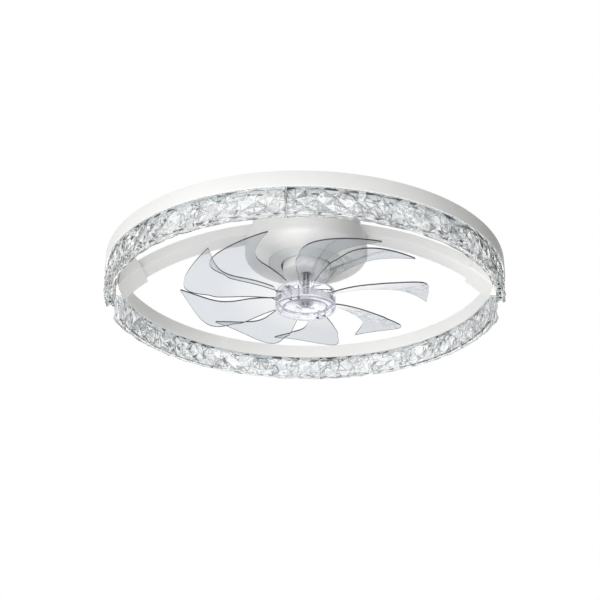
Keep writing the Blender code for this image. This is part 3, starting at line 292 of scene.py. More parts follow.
def plain_finish(name, low, high, scale, settings, grain=None):
    """A finish whose colour wanders between two inks, with or without a fine relief."""
    made, tree, shader = finish(name, settings)
    wander(tree, shader, "Base Color", low, high, scale)
    if grain:
        relief(tree, shader, *grain)
    return made


# %% [markdown]
# ### White sprayed paint
# The ring, the bar, the feet, the canopy and the motor housing are pressed or bent
# steel with a sprayed white coat. The eye gets a nearly neutral white with a faint
# orange-peel skin, and soft reflections that grow at a grazing angle.

# %% White paint
white_paint = plain_finish(
    "white gloss paint, sprayed on steel", "#f3f3f1", "#f7f7f6", 9.0,
    {"Roughness": 0.42, "IOR": 1.5, "Coat Weight": 0.12, "Coat Roughness": 0.25},
    (620.0, 0.10, 0.00005))

# %% [markdown]
# Inside the ring's channel the same paint carries a painted glow, a little emission
# that stands in for the strips' light. Without that, the crystal band below it would
# show a black hollow.

# %% Painted glow inside
painted_glow_inside = plain_finish(
    "white paint inside the ring, with a painted glow", "#e6e8e8", "#f2f3f3", 40.0,
    {"Roughness": 0.5, "IOR": 1.5, "Emission Color": ink("#f2f5f6"), "Emission Strength": 0.4})

# %% [markdown]
# ### Grey-white satin paint
# The flat ring that closes the housing and frames the motor is a shade darker than its
# surroundings and has no gloss coat.

# %% Pale paint
pale_paint = plain_finish(
    "pale grey satin paint, sprayed on aluminium", "#d6d9d8", "#dcdfde", 22.0,
    {"Roughness": 0.42, "IOR": 1.5}, (900.0, 0.10, 0.00004))

# %% [markdown]
# ### Clear acrylic, faceted
# The band's channels are moulded acrylic. Each small facet throws another patch of
# the room at the eye, so neighbours jump from white to blue-grey. That is painted in as
# reflection: a number kept on each facet chooses one of six tints for it.
#
# Where two facets meet, the edge bends the light away, and a dark stroke is painted
# there as shade. Each corner of a facet keeps its own axis, so the least of the three
# shares at a point says how far the nearest facet edge is. What is left of the facet's
# number after whole fifths chooses the facets that get strokes, about half.

# %% Faceted acrylic
STROKE_WIDE, FAINT, FULL, FIFTH = 0.20, 0.10, 0.18, 0.2


def faceted_finish(name, codes, stops):
    """Clear acrylic whose painted reflection tint follows the number kept on each facet. The
    colour is the facet's ink, mixed toward a dark painted shade by the stroke's share times
    the chosen depth."""
    made, tree, shader = finish(name, {
        "Roughness": 0.015, "IOR": 1.49, "Transmission Weight": 1.0})
    # Each facet's tint is a painted reflection.
    number = add(tree, "ShaderNodeAttribute", {"attribute_name": "facet"}).outputs["Fac"]
    tint = inked(tree, number, codes, stops, "CONSTANT")
    share = add(tree, "ShaderNodeAttribute", {"attribute_name": "painted_edge_shade"})
    parts = add(tree, "ShaderNodeSeparateXYZ", {}, {"Vector": share.outputs["Vector"]})
    least = parts.outputs["X"]
    for axis in "YZ":
        least = reckon(tree, "MINIMUM", least, parts.outputs[axis])
    # The stroke is painted shade along the facets' edges.
    stroke = add(tree, "ShaderNodeMapRange", {"From Min": 0.0, "From Max": STROKE_WIDE,
                                              "To Min": 1.0, "To Max": 0.0}, {"Value": least})
    depth = add(tree, "ShaderNodeMapRange", {"From Min": FAINT, "From Max": FULL},
                {"Value": reckon(tree, "MODULO", number, FIFTH)})
    amount = reckon(tree, "MULTIPLY", stroke.outputs["Result"], depth.outputs["Result"])
    tinted = add(tree, "ShaderNodeMixRGB", {"Color2": ink("#2a3035")},
                 {"Fac": amount, "Color1": tint})
    tree.links.new(tinted.outputs["Color"], shader.inputs["Base Color"])
    relief(tree, shader, 240.0, 0.6, 0.0010, detail=0.5)
    return made


crystal = faceted_finish(
    "clear acrylic, moulded in facets",
    ("#ffffff", "#fafbfb", "#eceff1", "#d3d8dc", "#a6adb4", "#15181c"),
    (0.0, 0.42, 0.64, 0.80, 0.92, 0.97))

# %% [markdown]
# The slot in the channels ends at a matt grey ceiling, which shows as a smooth band
# from below. The ceiling and the slot's sides carry a painted glow, a little emission
# that stands in for the light of the strips above. The ends are sawn, so they scatter
# light like ground glass.

# %% Slot ceiling and sawn ends
slot_ceiling = plain_finish(
    "grey acrylic, sanded matt, with a painted glow", "#ccd1d2", "#d8dcdd", 90.0,
    {"Roughness": 0.6, "IOR": 1.49, "Emission Color": ink("#eef3f6"), "Emission Strength": 0.22})
# The slot's sides carry a fainter painted glow.
slot_side = plain_finish(
    "clear acrylic, satin from the mould", "#f4f6f7", "#ffffff", 90.0,
    {"Roughness": 0.12, "IOR": 1.49, "Transmission Weight": 1.0,
     "Emission Color": ink("#f2f6f8"), "Emission Strength": 0.03})
sawn_end = plain_finish(
    "clear acrylic, sawn and frosted", "#cfd4d8", "#eceeef", 400.0,
    {"Roughness": 0.5, "IOR": 1.49, "Transmission Weight": 0.3})
# The ends at the two seams are a darker grey.
seam_end = plain_finish(
    "clear acrylic, sawn, darker grey at the seam", "#6d7379", "#8f959a", 500.0,
    {"Roughness": 0.5, "IOR": 1.49, "Transmission Weight": 0.1})

# %% [markdown]
# The end plugs of the near channels are moulded with five ribs, 6.1 mm apart in
# height, and the grooves between the ribs are painted dark as shade.

# %% Ribbed plug
ribbed_plug, tree, shader = finish("clear acrylic plug, moulded with ribs", {
    "Roughness": 0.2, "IOR": 1.49, "Transmission Weight": 0.4})
HALF_RIB = 0.00305
parts = add(tree, "ShaderNodeSeparateXYZ", {}, {"Vector": object_place(tree)})
# Painted shade: darker in the grooves, by height on the plug.
groove = add(tree, "ShaderNodeMapRange", {"From Min": 0.0, "From Max": HALF_RIB},
             {"Value": reckon(tree, "PINGPONG", parts.outputs["Z"], HALF_RIB)})
shade = inked(tree, groove.outputs["Result"], ("#4a4f54", "#f6f8f9"), (0.25, 0.45))
tree.links.new(shade, shader.inputs["Base Color"])

# %% [markdown]
# ### Clear acrylic, polished
# Blades are cut from clear sheet and the hub is turned from clear stock. Seen against
# white they take a thin grey veil, painted deeper toward the blades' tips as shade, and
# the thick hub carries a faint painted violet glow. The rim of a blade is painted dark,
# partly for the tint gathered on the long way through the sheet to its cut edge and
# partly as shade.

# %% Clear sheet, its rim, and the clear hub
clear_sheet, tree, shader = finish("clear grey-tinted acrylic sheet, thermoformed", {
    "Roughness": 0.02, "IOR": 1.49, "Transmission Weight": 1.0})
place = object_place(tree)
flat = add(tree, "ShaderNodeMapping", {"Scale": (1.0, 1.0, 0.0)}, {"Vector": place})
reach = add(tree, "ShaderNodeVectorMath", {"operation": "LENGTH"})
tree.links.new(flat.outputs["Vector"], reach.inputs[0])
cloud = add(tree, "ShaderNodeTexNoise", {"Scale": 14.0}, {"Vector": place})
CLOUD_PLAY, VEIL_FROM, VEIL_TO = 0.03, 0.065, 0.125
outward = reckon(tree, "MULTIPLY_ADD", cloud.outputs["Fac"], CLOUD_PLAY, reach.outputs["Value"])
# The veil is the sheet's grey tint, painted deeper outward from the hub as shade.
veil = inked(tree, outward, ("#f6f7f8", "#e3e6eb"), (VEIL_FROM, VEIL_TO))
tree.links.new(veil, shader.inputs["Base Color"])

# The rim's dark grey is partly the gathered tint and partly painted shade.
sheet_rim = plain_finish(
    "cut edge of the clear sheet, dark with gathered tint", "#3c3f45", "#5b5f66", 60.0,
    {"Roughness": 0.25, "IOR": 1.49, "Transmission Weight": 0.2})
# The hub's faint violet emission is a painted glow.
clear_hub = plain_finish(
    "clear acrylic, turned and polished", "#f9f9fc", "#ffffff", 40.0,
    {"Roughness": 0.02, "IOR": 1.49, "Transmission Weight": 1.0,
     "Emission Color": ink("#e4e5f8"), "Emission Strength": 0.055})

# %% [markdown]
# ### Metals
# The shaft is dark steel. Six dark and bright stripes round it are painted shade and
# highlights, which look like lines through the clear hub. Bracket, screws and bearings
# are zinc-plated steel with a cloudy sheen. The hub's screws have blackened heads on
# bright shanks.

# %% Steels
ground_steel, tree, shader = finish("dark ground steel, turned", {
    "Metallic": 1.0, "Roughness": 0.24})
HALF_PAINTED_STRIPE = 0.0833
# Six dark and bright stripes round the shaft: painted shade and highlights.
round_it = add(tree, "ShaderNodeTexGradient", {"gradient_type": "RADIAL"},
               {"Vector": object_place(tree)})
painted_stripes = reckon(tree, "PINGPONG", round_it.outputs["Fac"], HALF_PAINTED_STRIPE)
lines = inked(tree, painted_stripes, ("#1d1e20", "#b4b6ba"), (0.02, 0.065))
tree.links.new(lines, shader.inputs["Base Color"])

plated_steel, tree, shader = finish("zinc-plated steel, bright", {"Metallic": 1.0})
wander(tree, shader, "Base Color", "#c0c2c6", "#cbcdd0", 120.0)
wander(tree, shader, "Roughness", 0.28, 0.38, 240.0)
relief(tree, shader, 900.0, 0.15, 0.00003)

black_steel, tree, shader = finish("steel screw with a blackened head", {"Metallic": 1.0})
parts = add(tree, "ShaderNodeSeparateXYZ", {}, {"Vector": object_place(tree)})
HEAD_END, SHANK_START = -0.1216, -0.1212
head = add(tree, "ShaderNodeMapRange", {"From Min": HEAD_END, "From Max": SHANK_START},
           {"Value": parts.outputs["Z"]})
blackened = inked(tree, head.outputs["Result"], ("#2d2e31", "#c6c8cc"))
tree.links.new(blackened, shader.inputs["Base Color"])
wander(tree, shader, "Roughness", 0.30, 0.45, 400.0)

# %% [markdown]
# ### Inside the motor
# Stacked sheet iron shows thin lines round its side, and the windings show the
# enamelled wire. Both are lines of a wave pattern over the height, which is lighter
# than a model of every sheet and wire. The magnet is ground and mottled.

# %% Stacked iron, wire, magnet
stacked_iron, tree, shader = finish("stacked sheet iron, varnished", {
    "Metallic": 1.0, "Roughness": 0.38})
sheets = add(tree, "ShaderNodeTexWave", {"Scale": 320.0, "bands_direction": "Z"},
             {"Vector": object_place(tree)})
layers = inked(tree, sheets.outputs["Fac"], ("#77797d", "#a3a5a9"))
tree.links.new(layers, shader.inputs["Base Color"])
bump = add(tree, "ShaderNodeBump", {"Strength": 0.4, "Distance": 0.0001},
           {"Height": sheets.outputs["Fac"]})
tree.links.new(bump.outputs["Normal"], shader.inputs["Normal"])

copper_wire, tree, shader = finish("copper wire, enamelled and wound", {
    "Metallic": 1.0, "Roughness": 0.30})
wires = add(tree, "ShaderNodeTexWave", {"Scale": 500.0, "bands_direction": "Z", "Distortion": 0.8},
            {"Vector": object_place(tree)})
strands = inked(tree, wires.outputs["Fac"], ("#8a4a26", "#d08a58"))
tree.links.new(strands, shader.inputs["Base Color"])

ferrite, tree, shader = finish("ferrite magnet, ground", {"Metallic": 0.4})
wander(tree, shader, "Base Color", "#34353a", "#46484d", 300.0)
wander(tree, shader, "Roughness", 0.40, 0.60, 500.0)

# %% [markdown]
# ### Lights and boxes
# The light strips are pale boards with yellow chips, made as dots of a cell pattern
# with little play. The milky strips under them carry a painted glow, an emission that
# stands in for light from behind. The boxes and terminals are moulded with a fine grain.

# %% Boards, covers, boxes
light_board, tree, shader = finish("light board, white lacquer with yellow chips", {
    "Roughness": 0.5, "IOR": 1.5})
chips = add(tree, "ShaderNodeTexVoronoi", {"Scale": 110.0, "Randomness": 0.15},
            {"Vector": object_place(tree)})
dots = inked(tree, chips.outputs["Distance"], ("#e4dfc4", "#f2f1ea"), (0.0, 0.22), "CONSTANT")
tree.links.new(dots, shader.inputs["Base Color"])

# The milky strips' emission is a painted glow.
milky = plain_finish(
    "milky acrylic, extruded, with a painted glow", "#f4f4f0", "#fafaf8", 40.0,
    {"Roughness": 0.45, "IOR": 1.49, "Emission Color": ink("#fffdf8"), "Emission Strength": 0.5})
box_plastic = plain_finish(
    "pale plastic case, moulded with a fine grain", "#e3e3df", "#ebebe8", 30.0,
    {"Roughness": 0.5, "IOR": 1.5}, (1500.0, 0.3, 0.00008))
terminal_plastic = plain_finish(
    "pale green-grey plastic, moulded", "#d5dacf", "#dfe3da", 60.0,
    {"Roughness": 0.45, "IOR": 1.5}, (1800.0, 0.25, 0.00006))

# %% [markdown]
# ## The ring frame
# A steel strip is rolled into an inverted channel, open below, and sprayed white.
# Its outer band is the lamp's widest line, so it gets many steps and softly broken
# edges. The faces inside the channel are found by where their middles lie.

# %% Ring frame
RING_R, RING_IN = 0.250, 0.235
RING_TOP, RING_LOW, WALL = -0.078, -0.0965, 0.0015
ring_corners = ((RING_R, RING_TOP), (RING_R, RING_LOW), (RING_R - WALL, RING_LOW),
                (RING_R - WALL, RING_TOP - WALL), (RING_IN + WALL, RING_TOP - WALL),
                (RING_IN + WALL, RING_LOW), (RING_IN, RING_LOW), (RING_IN, RING_TOP))
ring = turned_ring("ring_band", ring_corners, 0.0006, 256, "lamp", stands_for=["ring_frame"],
                   slot="white_paint", looks=(white_paint, painted_glow_inside))
# The faces inside the channel take the paint with the painted glow.
middles = np.empty(3 * len(ring.data.polygons))
ring.data.polygons.foreach_get("center", middles)
middles = middles.reshape(-1, 3)
reach = np.hypot(middles[:, 0], middles[:, 1])
within = (reach > RING_IN + 0.9 * WALL) & (reach < RING_R - 0.9 * WALL)
within &= middles[:, 2] < RING_TOP - 0.5 * WALL
ring.data.polygons.foreach_set("material_index", within.astype(np.int32))
print("faces inside the ring's channel:", int(within.sum()))

# %% [markdown]
# ## The crystal band
# Four channels of moulded acrylic hang in the ring frame. Their two walls carry a
# pattern of low pyramids on a diamond grid. Its columns are 10 mm apart, and each point
# is a good way off its place, as a mould maker cuts them so that the light never
# repeats.
#
# The wall is a grid of points round the ring and down its height. Every second point
# is a peak and the others are valleys. A cell between two peaks and two valleys is
# split from valley to valley, which gives each peak four flat facets. Between its end
# rows the wall's height is shared out unevenly, so the middle facets are the tallest.
# The channels meet at two seams, 14 mm left of the middle on the near side and 14 mm
# right of it on the far side. Each channel also stops short of the bar's middle by its
# own distance, as in the photograph.

# %% The diamond grid
CRYSTAL_OUT, SLOT_OUT, SLOT_IN, CRYSTAL_IN = 0.2473, 0.2446, 0.2398, 0.2371
CRYSTAL_TOP, SLOT_TOP, COLLAR, CRYSTAL_LOW = -0.092, -0.095, -0.0968, -0.127
PEAK, INNER_SHARE, JAG = 0.0019, 0.45, 0.0012
FACET_STEP = 0.010
ROW_SHARES = np.array([0.0, 0.08, 0.37, 0.70, 0.94, 1.0])
ROW_PLAY = np.array([0.0, 0.03, 0.09, 0.09, 0.02, 0.0])
LIFT_SHARES = np.array([0.3, 0.55, 1.0, 1.0, 0.6, 0.2])
ALONG_PLAY, PEAK_LIFT, VALLEY_LIFT = 0.40, 0.9, -0.4
LIFT_PLAY, LIFT_REACH = (-0.6, 0.35), (-0.7, 1.0)
chance = np.random.default_rng(11)


def crystal_walls(columns):
    """Places of the facet points on one wall: columns along, share of the height down,
    and the lift. The lift is the row's share times that of a peak or of a valley, and
    each of the three has some play."""
    rows = len(ROW_SHARES)
    row, column = np.meshgrid(np.arange(rows), np.arange(columns + 1))
    peak = (row + column) % 2 == 0
    along = column + chance.uniform(-ALONG_PLAY, ALONG_PLAY, row.shape)
    along[[0, -1]] = column[[0, -1]]
    along[:, [0, -1]] = column[:, [0, -1]] + 0.5 * (along - column)[:, [0, -1]]
    down = ROW_SHARES[row] + ROW_PLAY[row] * chance.uniform(-1.0, 1.0, row.shape)
    down[:, [0, -1]] = ROW_SHARES[row][:, [0, -1]]
    lift = LIFT_SHARES[row] * np.where(peak, PEAK_LIFT, VALLEY_LIFT)
    play = LIFT_SHARES[row] * chance.uniform(*LIFT_PLAY, row.shape)
    return along, down, np.clip(lift + play, *LIFT_REACH), peak


MIDDLE = (CRYSTAL_OUT + CRYSTAL_IN) / 2


def angle_of(distance):
    """The angle whose sine is a distance over the channel's middle radius."""
    return math.asin(distance / MIDDLE)


SEAM_OFF, HALF_SEAM = 0.014, 0.0008
STOPS_SHORT = {"near_left": 0.016, "near_right": 0.028, "far_right": 0.024, "far_left": 0.023}
seam, seam_half = angle_of(SEAM_OFF), angle_of(HALF_SEAM)
near_seam, far_seam = -math.pi / 2 - seam, math.pi / 2 - seam
spans = {
    "near_left": (-math.pi + angle_of(STOPS_SHORT["near_left"]), near_seam - seam_half),
    "near_right": (near_seam + seam_half, -angle_of(STOPS_SHORT["near_right"])),
    "far_right": (angle_of(STOPS_SHORT["far_right"]), far_seam - seam_half),
    "far_left": (far_seam + seam_half, math.pi - angle_of(STOPS_SHORT["far_left"])),
}
for place, (start, end) in spans.items():
    print(place, "is", round(1000 * MIDDLE * (end - start)), "mm long")

# %% [markdown]
# The channel's section goes down the outer wall, round the open slot and up the inner
# wall. The facet points sit on the two outer faces, and their lower edge is a little
# uneven, as it is in the photograph. All other points lie true.

# %% The channel's points


def channel_points(start, end, columns):
    """The grid of a channel's points, section after section, and which are peaks. A
    section goes from a top corner down the outer wall, round four slot points and up
    the inner wall to the other top corner. A facet point's radius is its wall's radius
    plus the wall's relief times the lift."""
    rows = len(ROW_SHARES)
    walls = []
    for base, size in ((CRYSTAL_OUT, PEAK), (CRYSTAL_IN, -PEAK * INNER_SHARE)):
        along, down, lift, peak = crystal_walls(columns)
        angle = start + (end - start) * along / columns
        level = COLLAR + (CRYSTAL_LOW - COLLAR) * down
        level[1:-1, -1] += chance.uniform(0, JAG, columns - 1)
        walls.append((angle, base + size * lift, level, peak))
    out, inner = walls
    flat = np.linspace(start, end, columns + 1)[:, None]
    still = np.ones_like(flat)
    slot = ((SLOT_OUT, CRYSTAL_LOW), (SLOT_OUT, SLOT_TOP), (SLOT_IN, SLOT_TOP),
            (SLOT_IN, CRYSTAL_LOW))
    angle = np.hstack([flat, out[0], *[flat] * len(slot), inner[0][:, ::-1], flat])
    radius = np.hstack([still * CRYSTAL_OUT, out[1], *[still * r for r, _ in slot],
                        inner[1][:, ::-1], still * CRYSTAL_IN])
    level = np.hstack([still * CRYSTAL_TOP, out[2], *[still * z for _, z in slot],
                       inner[2][:, ::-1], still * CRYSTAL_TOP])
    peaks = np.zeros(level.shape, bool)
    peaks[:, 1:rows + 1] = out[3]
    peaks[:, -rows - 1:-1] = inner[3][:, ::-1]
    return np.stack([radius * np.cos(angle), radius * np.sin(angle), level], -1), peaks


def split_cells(cells, cut):
    """Two triangles for each cell: it is cut from its second to its fourth corner, or
    from its first to its third."""
    a, b, c, d = cells.T
    one = np.where(cut[:, None], np.stack([a, b, d], 1), np.stack([a, b, c], 1))
    two = np.where(cut[:, None], np.stack([b, c, d], 1), np.stack([a, c, d], 1))
    return np.concatenate([one, two])


two_cells = np.arange(8).reshape(2, 4)
print("triangles of two cells:", len(split_cells(two_cells, np.array((True, False)))))

# %% [markdown]
# Two marks are kept on the mesh for the acrylic's finish: a number on each facet, and
# on its three corners their own axes. Some of the facets just under the frame are
# set to the darkest tint, painted dark reflections, where the photograph has its black
# flecks. The channel at the near left has lighter painted facets and finer painted
# strokes, the one at the near right more flecks.

# %% The facets' marks
# Per channel: reach of the painted tints, share of painted black flecks at the top, and fineness
# of the painted strokes.
PLAIN_MARKS = (0.96, 0.26, 1.0)
MARKS = {"near_left": (0.84, 0.26, 1.7), "near_right": (0.96, 0.45, 1.0)}


def mark_facets(mesh, place, count, at_top):
    """Keep a random number on each facet, for its painted tint, and the corner axes times
    the fineness, for the painted strokes.
    """
    reach, painted_fleck_share, fineness = MARKS.get(place, PLAIN_MARKS)
    number = np.full(len(mesh.polygons), 0.5, np.float32)
    shade = chance.uniform(0, reach, count)
    number[:count] = np.where(at_top & (chance.uniform(0, 1, count) < painted_fleck_share), 1.0, shade)
    facet = mesh.attributes.new("facet", "FLOAT", "FACE")
    facet.data.foreach_set("value", number)
    corners = np.ones((len(mesh.loops), 3), np.float32)
    corners[:3 * count] = np.tile(fineness * np.eye(3), (count, 1))
    painted_edge_shade = mesh.attributes.new("painted_edge_shade", "FLOAT_VECTOR", "CORNER")
    painted_edge_shade.data.foreach_set("vector", corners.ravel())


print("black share of the facets under the frame:", PLAIN_MARKS[1])

# %% [markdown]
# Each channel is then built between its two angles. The number of columns is even, so
# a row starts and ends on the same kind of point. The slot's ceiling and sides are told
# apart by their place in the section, and they and the two ends get their own finishes.

# %% The channels
CHANNEL_LOOKS = (crystal, slot_ceiling, sawn_end, slot_side, seam_end)
CEILING, SAWN, SIDE, SEAM = 1, 2, 3, 4


def make_channel(place, start, end):
    """One faceted channel between two angles."""
    columns = 2 * round(MIDDLE * (end - start) / (2 * FACET_STEP))
    rows = len(ROW_SHARES)
    points, peaks = channel_points(start, end, columns)
    count = points.shape[1]
    cells = lattice(columns + 1, count, False, True)
    spot = cells[:, 0] % count
    first_in = rows + 5
    faceted = ((spot >= 1) & (spot < rows)) | ((spot >= first_in) & (spot < first_in + rows - 1))
    facets = split_cells(cells[faceted], peaks.ravel()[cells[faceted][:, 0]])
    ends = np.stack([np.arange(count)[::-1], columns * count + np.arange(count)])
    made = piece("crystal_" + place + "_facets", points.reshape(-1, 3),
                 [facets, cells[~faceted], ends], "lamp", sharp=0, looks=CHANNEL_LOOKS,
                 stands_for=["crystal_" + place], slot="crystal")
    at_top = np.tile(np.isin(spot[faceted], (1, first_in + rows - 2)), 2)
    mark_facets(made.data, place, len(facets), at_top)
    plain = spot[~faceted]
    which = np.zeros(len(made.data.polygons), np.int32)
    which[len(facets):-2] = np.select([plain == rows + 2, np.isin(plain, (rows + 1, rows + 3))],
                                      [CEILING, SIDE], 0)
    which[-2:] = (SEAM, SAWN) if place in ("near_right", "far_left") else (SAWN, SEAM)
    made.data.polygons.foreach_set("material_index", which)


for place, (start, end) in spans.items():
    make_channel(place, start, end)

# %% [markdown]
# ## Light strips and milky covers
# Two boards with light chips sit under the top of the ring frame, and a milky strip
# below each one, which carries a painted glow, spreads the light into the crystal.

# %% Bars bent round the axis


def bent_bar(name, corners, edge, start, end, steps, **extra):
    """A closed section of (radius, height) carried round the axis from one angle to
    another, with a flat face at each end."""
    section = rounded(corners, edge)
    count = len(section)
    angle = np.linspace(start, end, steps)[:, None]
    points = np.stack([section[:, 0] * np.cos(angle), section[:, 0] * np.sin(angle),
                       section[:, 1] + 0 * angle], -1).reshape(-1, 3)
    ends = np.stack([np.arange(count)[::-1], (steps - 1) * count + np.arange(count)])
    return piece(name, points, [lattice(steps, count, False, True), ends], "lamp", **extra)


halves = {"near": (spans["near_left"][0], spans["near_right"][1]),
          "far": (spans["far_right"][0], spans["far_left"][1])}
STRIP_OUT, STRIP_IN, STRIP_STEPS = 0.2476, 0.2396, 96
STRIPS = (("light_board_", "led_strip_", -0.0798, 0.002, light_board, "led_board"),
          ("milky_strip_", "light_cover_", -0.0902, 0.0015, milky, "milky"))
for half, (start, end) in halves.items():
    for title, cad, high, thick, look, slot_name in STRIPS:
        section = ((STRIP_OUT, high), (STRIP_OUT, high - thick),
                   (STRIP_IN, high - thick), (STRIP_IN, high))
        bent_bar(title + half, section, 0.0003, start, end, STRIP_STEPS,
                 stands_for=[cad + half], slot=slot_name, looks=[look])

# %% [markdown]
# ## The arched bar
# The bar is flat steel, 28 by 14 mm over its folded sides, bent along an ellipse from
# the ceiling bracket down to the ring. It is swept along the ellipse with all four
# edges broken. The ellipse's rise follows from where its underside meets the inside of
# the ring, 21.8 mm under the ring's top.
#
# The points of the section are moved outward along the ellipse's normal, which keeps
# the bar as thick at its ends as in the middle.

# %% The ellipse
HALF_SPAN, CROWN, UNDER_TOP = 0.255, -0.0168, 0.0218
ARCH_RISE = (CROWN - RING_TOP + UNDER_TOP) / (1 - math.sqrt(1 - (RING_IN / HALF_SPAN) ** 2))
BAR_THICK, BAR_WIDE, BAR_END, BAR_STEPS = 0.014, 0.028, 0.219, 160


def on_arch(angle, lift):
    """X and Z of a point on the ellipse, moved outward along its normal by the lift."""
    across, up = np.cos(angle) / HALF_SPAN, np.sin(angle) / ARCH_RISE
    size = np.hypot(across, up)
    return (HALF_SPAN * np.cos(angle) + lift * across / size,
            CROWN - ARCH_RISE + ARCH_RISE * np.sin(angle) + lift * up / size)


print("arch rise in mm:", round(1000 * ARCH_RISE, 1))

# %% The swept bar
start = math.acos(BAR_END / HALF_SPAN)
angle = np.linspace(start, math.pi - start, BAR_STEPS)[:, None]
section = rounded(((-BAR_WIDE / 2, 0.0), (BAR_WIDE / 2, 0.0), (BAR_WIDE / 2, BAR_THICK),
                   (-BAR_WIDE / 2, BAR_THICK)), 0.0012)
across, up = on_arch(angle, section[:, 1][None])
points = np.stack([across, section[:, 0][None] + 0 * angle, up], -1)
count = len(section)
ends = np.stack([np.arange(count)[::-1], (BAR_STEPS - 1) * count + np.arange(count)])
piece("arched_bar", points.reshape(-1, 3), [lattice(BAR_STEPS, count, False, True), ends],
      "lamp", stands_for=["crossbar"], slot="white_paint", looks=[white_paint])

# %% [markdown]
# ## The feet
# Where the bar meets the ring it widens into a foot, a cast bracket that wraps the
# bar's end and follows the ring's curve with its outer face. Its outline is the arch
# again, 2 mm proud all round, and it draws in close to its sides, which rounds them.

# %% Feet
FOOT_WIDE, FOOT_START, FOOT_SKIN, FOOT_ROUND, FOOT_GAP = 0.043, 0.207, 0.002, 0.0016, 0.0006
STATIONS, SAMPLES, LOWEST_ANGLE, ROUND_RINGS, FLAT_RINGS = 26, 400, 0.1, 6, 16


def foot_outline(side):
    """The outline of the foot at one distance from the bar's middle: the arch's under
    and upper side, drawn in near the foot's sides by a quarter circle."""
    edge = np.clip(FOOT_WIDE / 2 - abs(side), 0.0, FOOT_ROUND)
    draw_in = FOOT_ROUND - math.sqrt(FOOT_ROUND ** 2 - (FOOT_ROUND - edge) ** 2)
    reach = math.sqrt((RING_IN - FOOT_GAP) ** 2 - side ** 2)
    first = math.acos((FOOT_START + draw_in) / HALF_SPAN)
    curves = []
    for lift in (-FOOT_SKIN + draw_in, BAR_THICK + FOOT_SKIN - draw_in):
        sweep = np.linspace(first, LOWEST_ANGLE, SAMPLES)
        across, _ = on_arch(sweep, lift)
        stations_at = np.linspace(first, np.interp(reach, across, sweep), STATIONS)
        curves.append(np.stack(on_arch(stations_at, lift), 1))
    return np.vstack([curves[0], curves[1][::-1]])


def make_foot(title, cad, way):
    """A loft of outlines from one side of the foot to the other."""
    inset = FOOT_ROUND * (1 - np.cos(np.linspace(0, math.pi / 2, ROUND_RINGS)))
    left = -FOOT_WIDE / 2 + inset
    flat = np.linspace(left[-1], -left[-1], FLAT_RINGS)[1:-1]
    sides = np.concatenate([left, flat, -left[::-1]])
    rings = np.array([foot_outline(side) for side in sides])
    points = np.stack([way * rings[..., 0], way * sides[:, None] + 0 * rings[..., 0],
                       rings[..., 1]], -1)
    rows, count = points.shape[:2]
    half = count // 2
    cap = np.stack([np.arange(half - 1), np.arange(1, half), count - 1 - np.arange(1, half),
                    count - 1 - np.arange(half - 1)], 1)
    faces = [lattice(rows, count, False, True), cap, (rows - 1) * count + cap[:, ::-1]]
    piece(title, points.reshape(-1, 3), faces, "lamp", stands_for=[cad],
          slot="white_paint", looks=[white_paint])


make_foot("foot_bracket_left", "foot_left", -1.0)
make_foot("foot_bracket_right", "foot_right", 1.0)

# %% [markdown]
# ## The canopy
# A drawn steel drum fills the space between the ceiling and the housing. The bar
# passes through two notches in its lower edge. The drum is a grid round the axis; at
# a notch the grid's columns stand on the cut's two sides, and the cells between are
# left out and closed with a ceiling and two cheeks.

# %% Canopy
DRUM_R, DRUM_WALL, DRUM_TOP, DRUM_LOW = 0.071, 0.0013, -0.0006, -0.0246
NOTCH_HALF, NOTCH_TOP, NOTCH_STEPS, SIDE_STEPS = 0.0143, -0.0066, 6, 48
HALF_STEPS = NOTCH_STEPS + SIDE_STEPS
OUTER_CUT, INNER_CUT, EDGE_CUT = 0, 4, 5


def drum_angles(radius):
    """Column angles: two notch spans and two wall spans, each in equal steps."""
    edge = math.asin(NOTCH_HALF / radius)
    stops = (-edge, edge, math.pi - edge, math.pi + edge, 2 * math.pi - edge)
    runs = [np.linspace(a, b, n, endpoint=False) for a, b, n in
            zip(stops, stops[1:], (NOTCH_STEPS, SIDE_STEPS, NOTCH_STEPS, SIDE_STEPS))]
    return np.concatenate(runs)


heights = (DRUM_LOW, NOTCH_TOP, DRUM_TOP)
columns = 2 * HALF_STEPS
rows = []
for radius, levels in ((DRUM_R, heights), (DRUM_R - DRUM_WALL, heights[::-1])):
    angle = drum_angles(radius)
    rows += [np.stack([radius * np.cos(angle), radius * np.sin(angle),
                       np.full(columns, level)], 1) for level in levels]
cells = lattice(len(rows), columns, True, True)
row, column = cells[:, 0] // columns, cells[:, 0] % columns
in_notch = column % HALF_STEPS < NOTCH_STEPS
gone = in_notch & np.isin(row, (OUTER_CUT, INNER_CUT, EDGE_CUT))
notch = cells[in_notch & (row == OUTER_CUT)]
ceiling = np.stack([notch[:, 3], notch[:, 2], notch[:, 2] + 3 * columns,
                    notch[:, 3] + 3 * columns], 1)
first = np.array([0, HALF_STEPS])
last = first + NOTCH_STEPS
cheek = [np.stack([c + k * columns for k in order], 1)
         for c, order in ((first, (0, 1, 4, 5)), (last, (5, 4, 1, 0)))]
piece("canopy_drum", np.vstack(rows), [cells[~gone], ceiling[:, ::-1], *cheek], "lamp",
      stands_for=["canopy"], slot="white_paint", looks=[white_paint])

# %% [markdown]
# ## The motor's housing, cover and case
# The housing is a spun steel dish whose side turns under in a quarter of an ellipse, a
# little fuller than a true one. The cover is a flat pale ring let into it, and the
# motor's own case a small white can with a shallow recess where the shaft comes out.

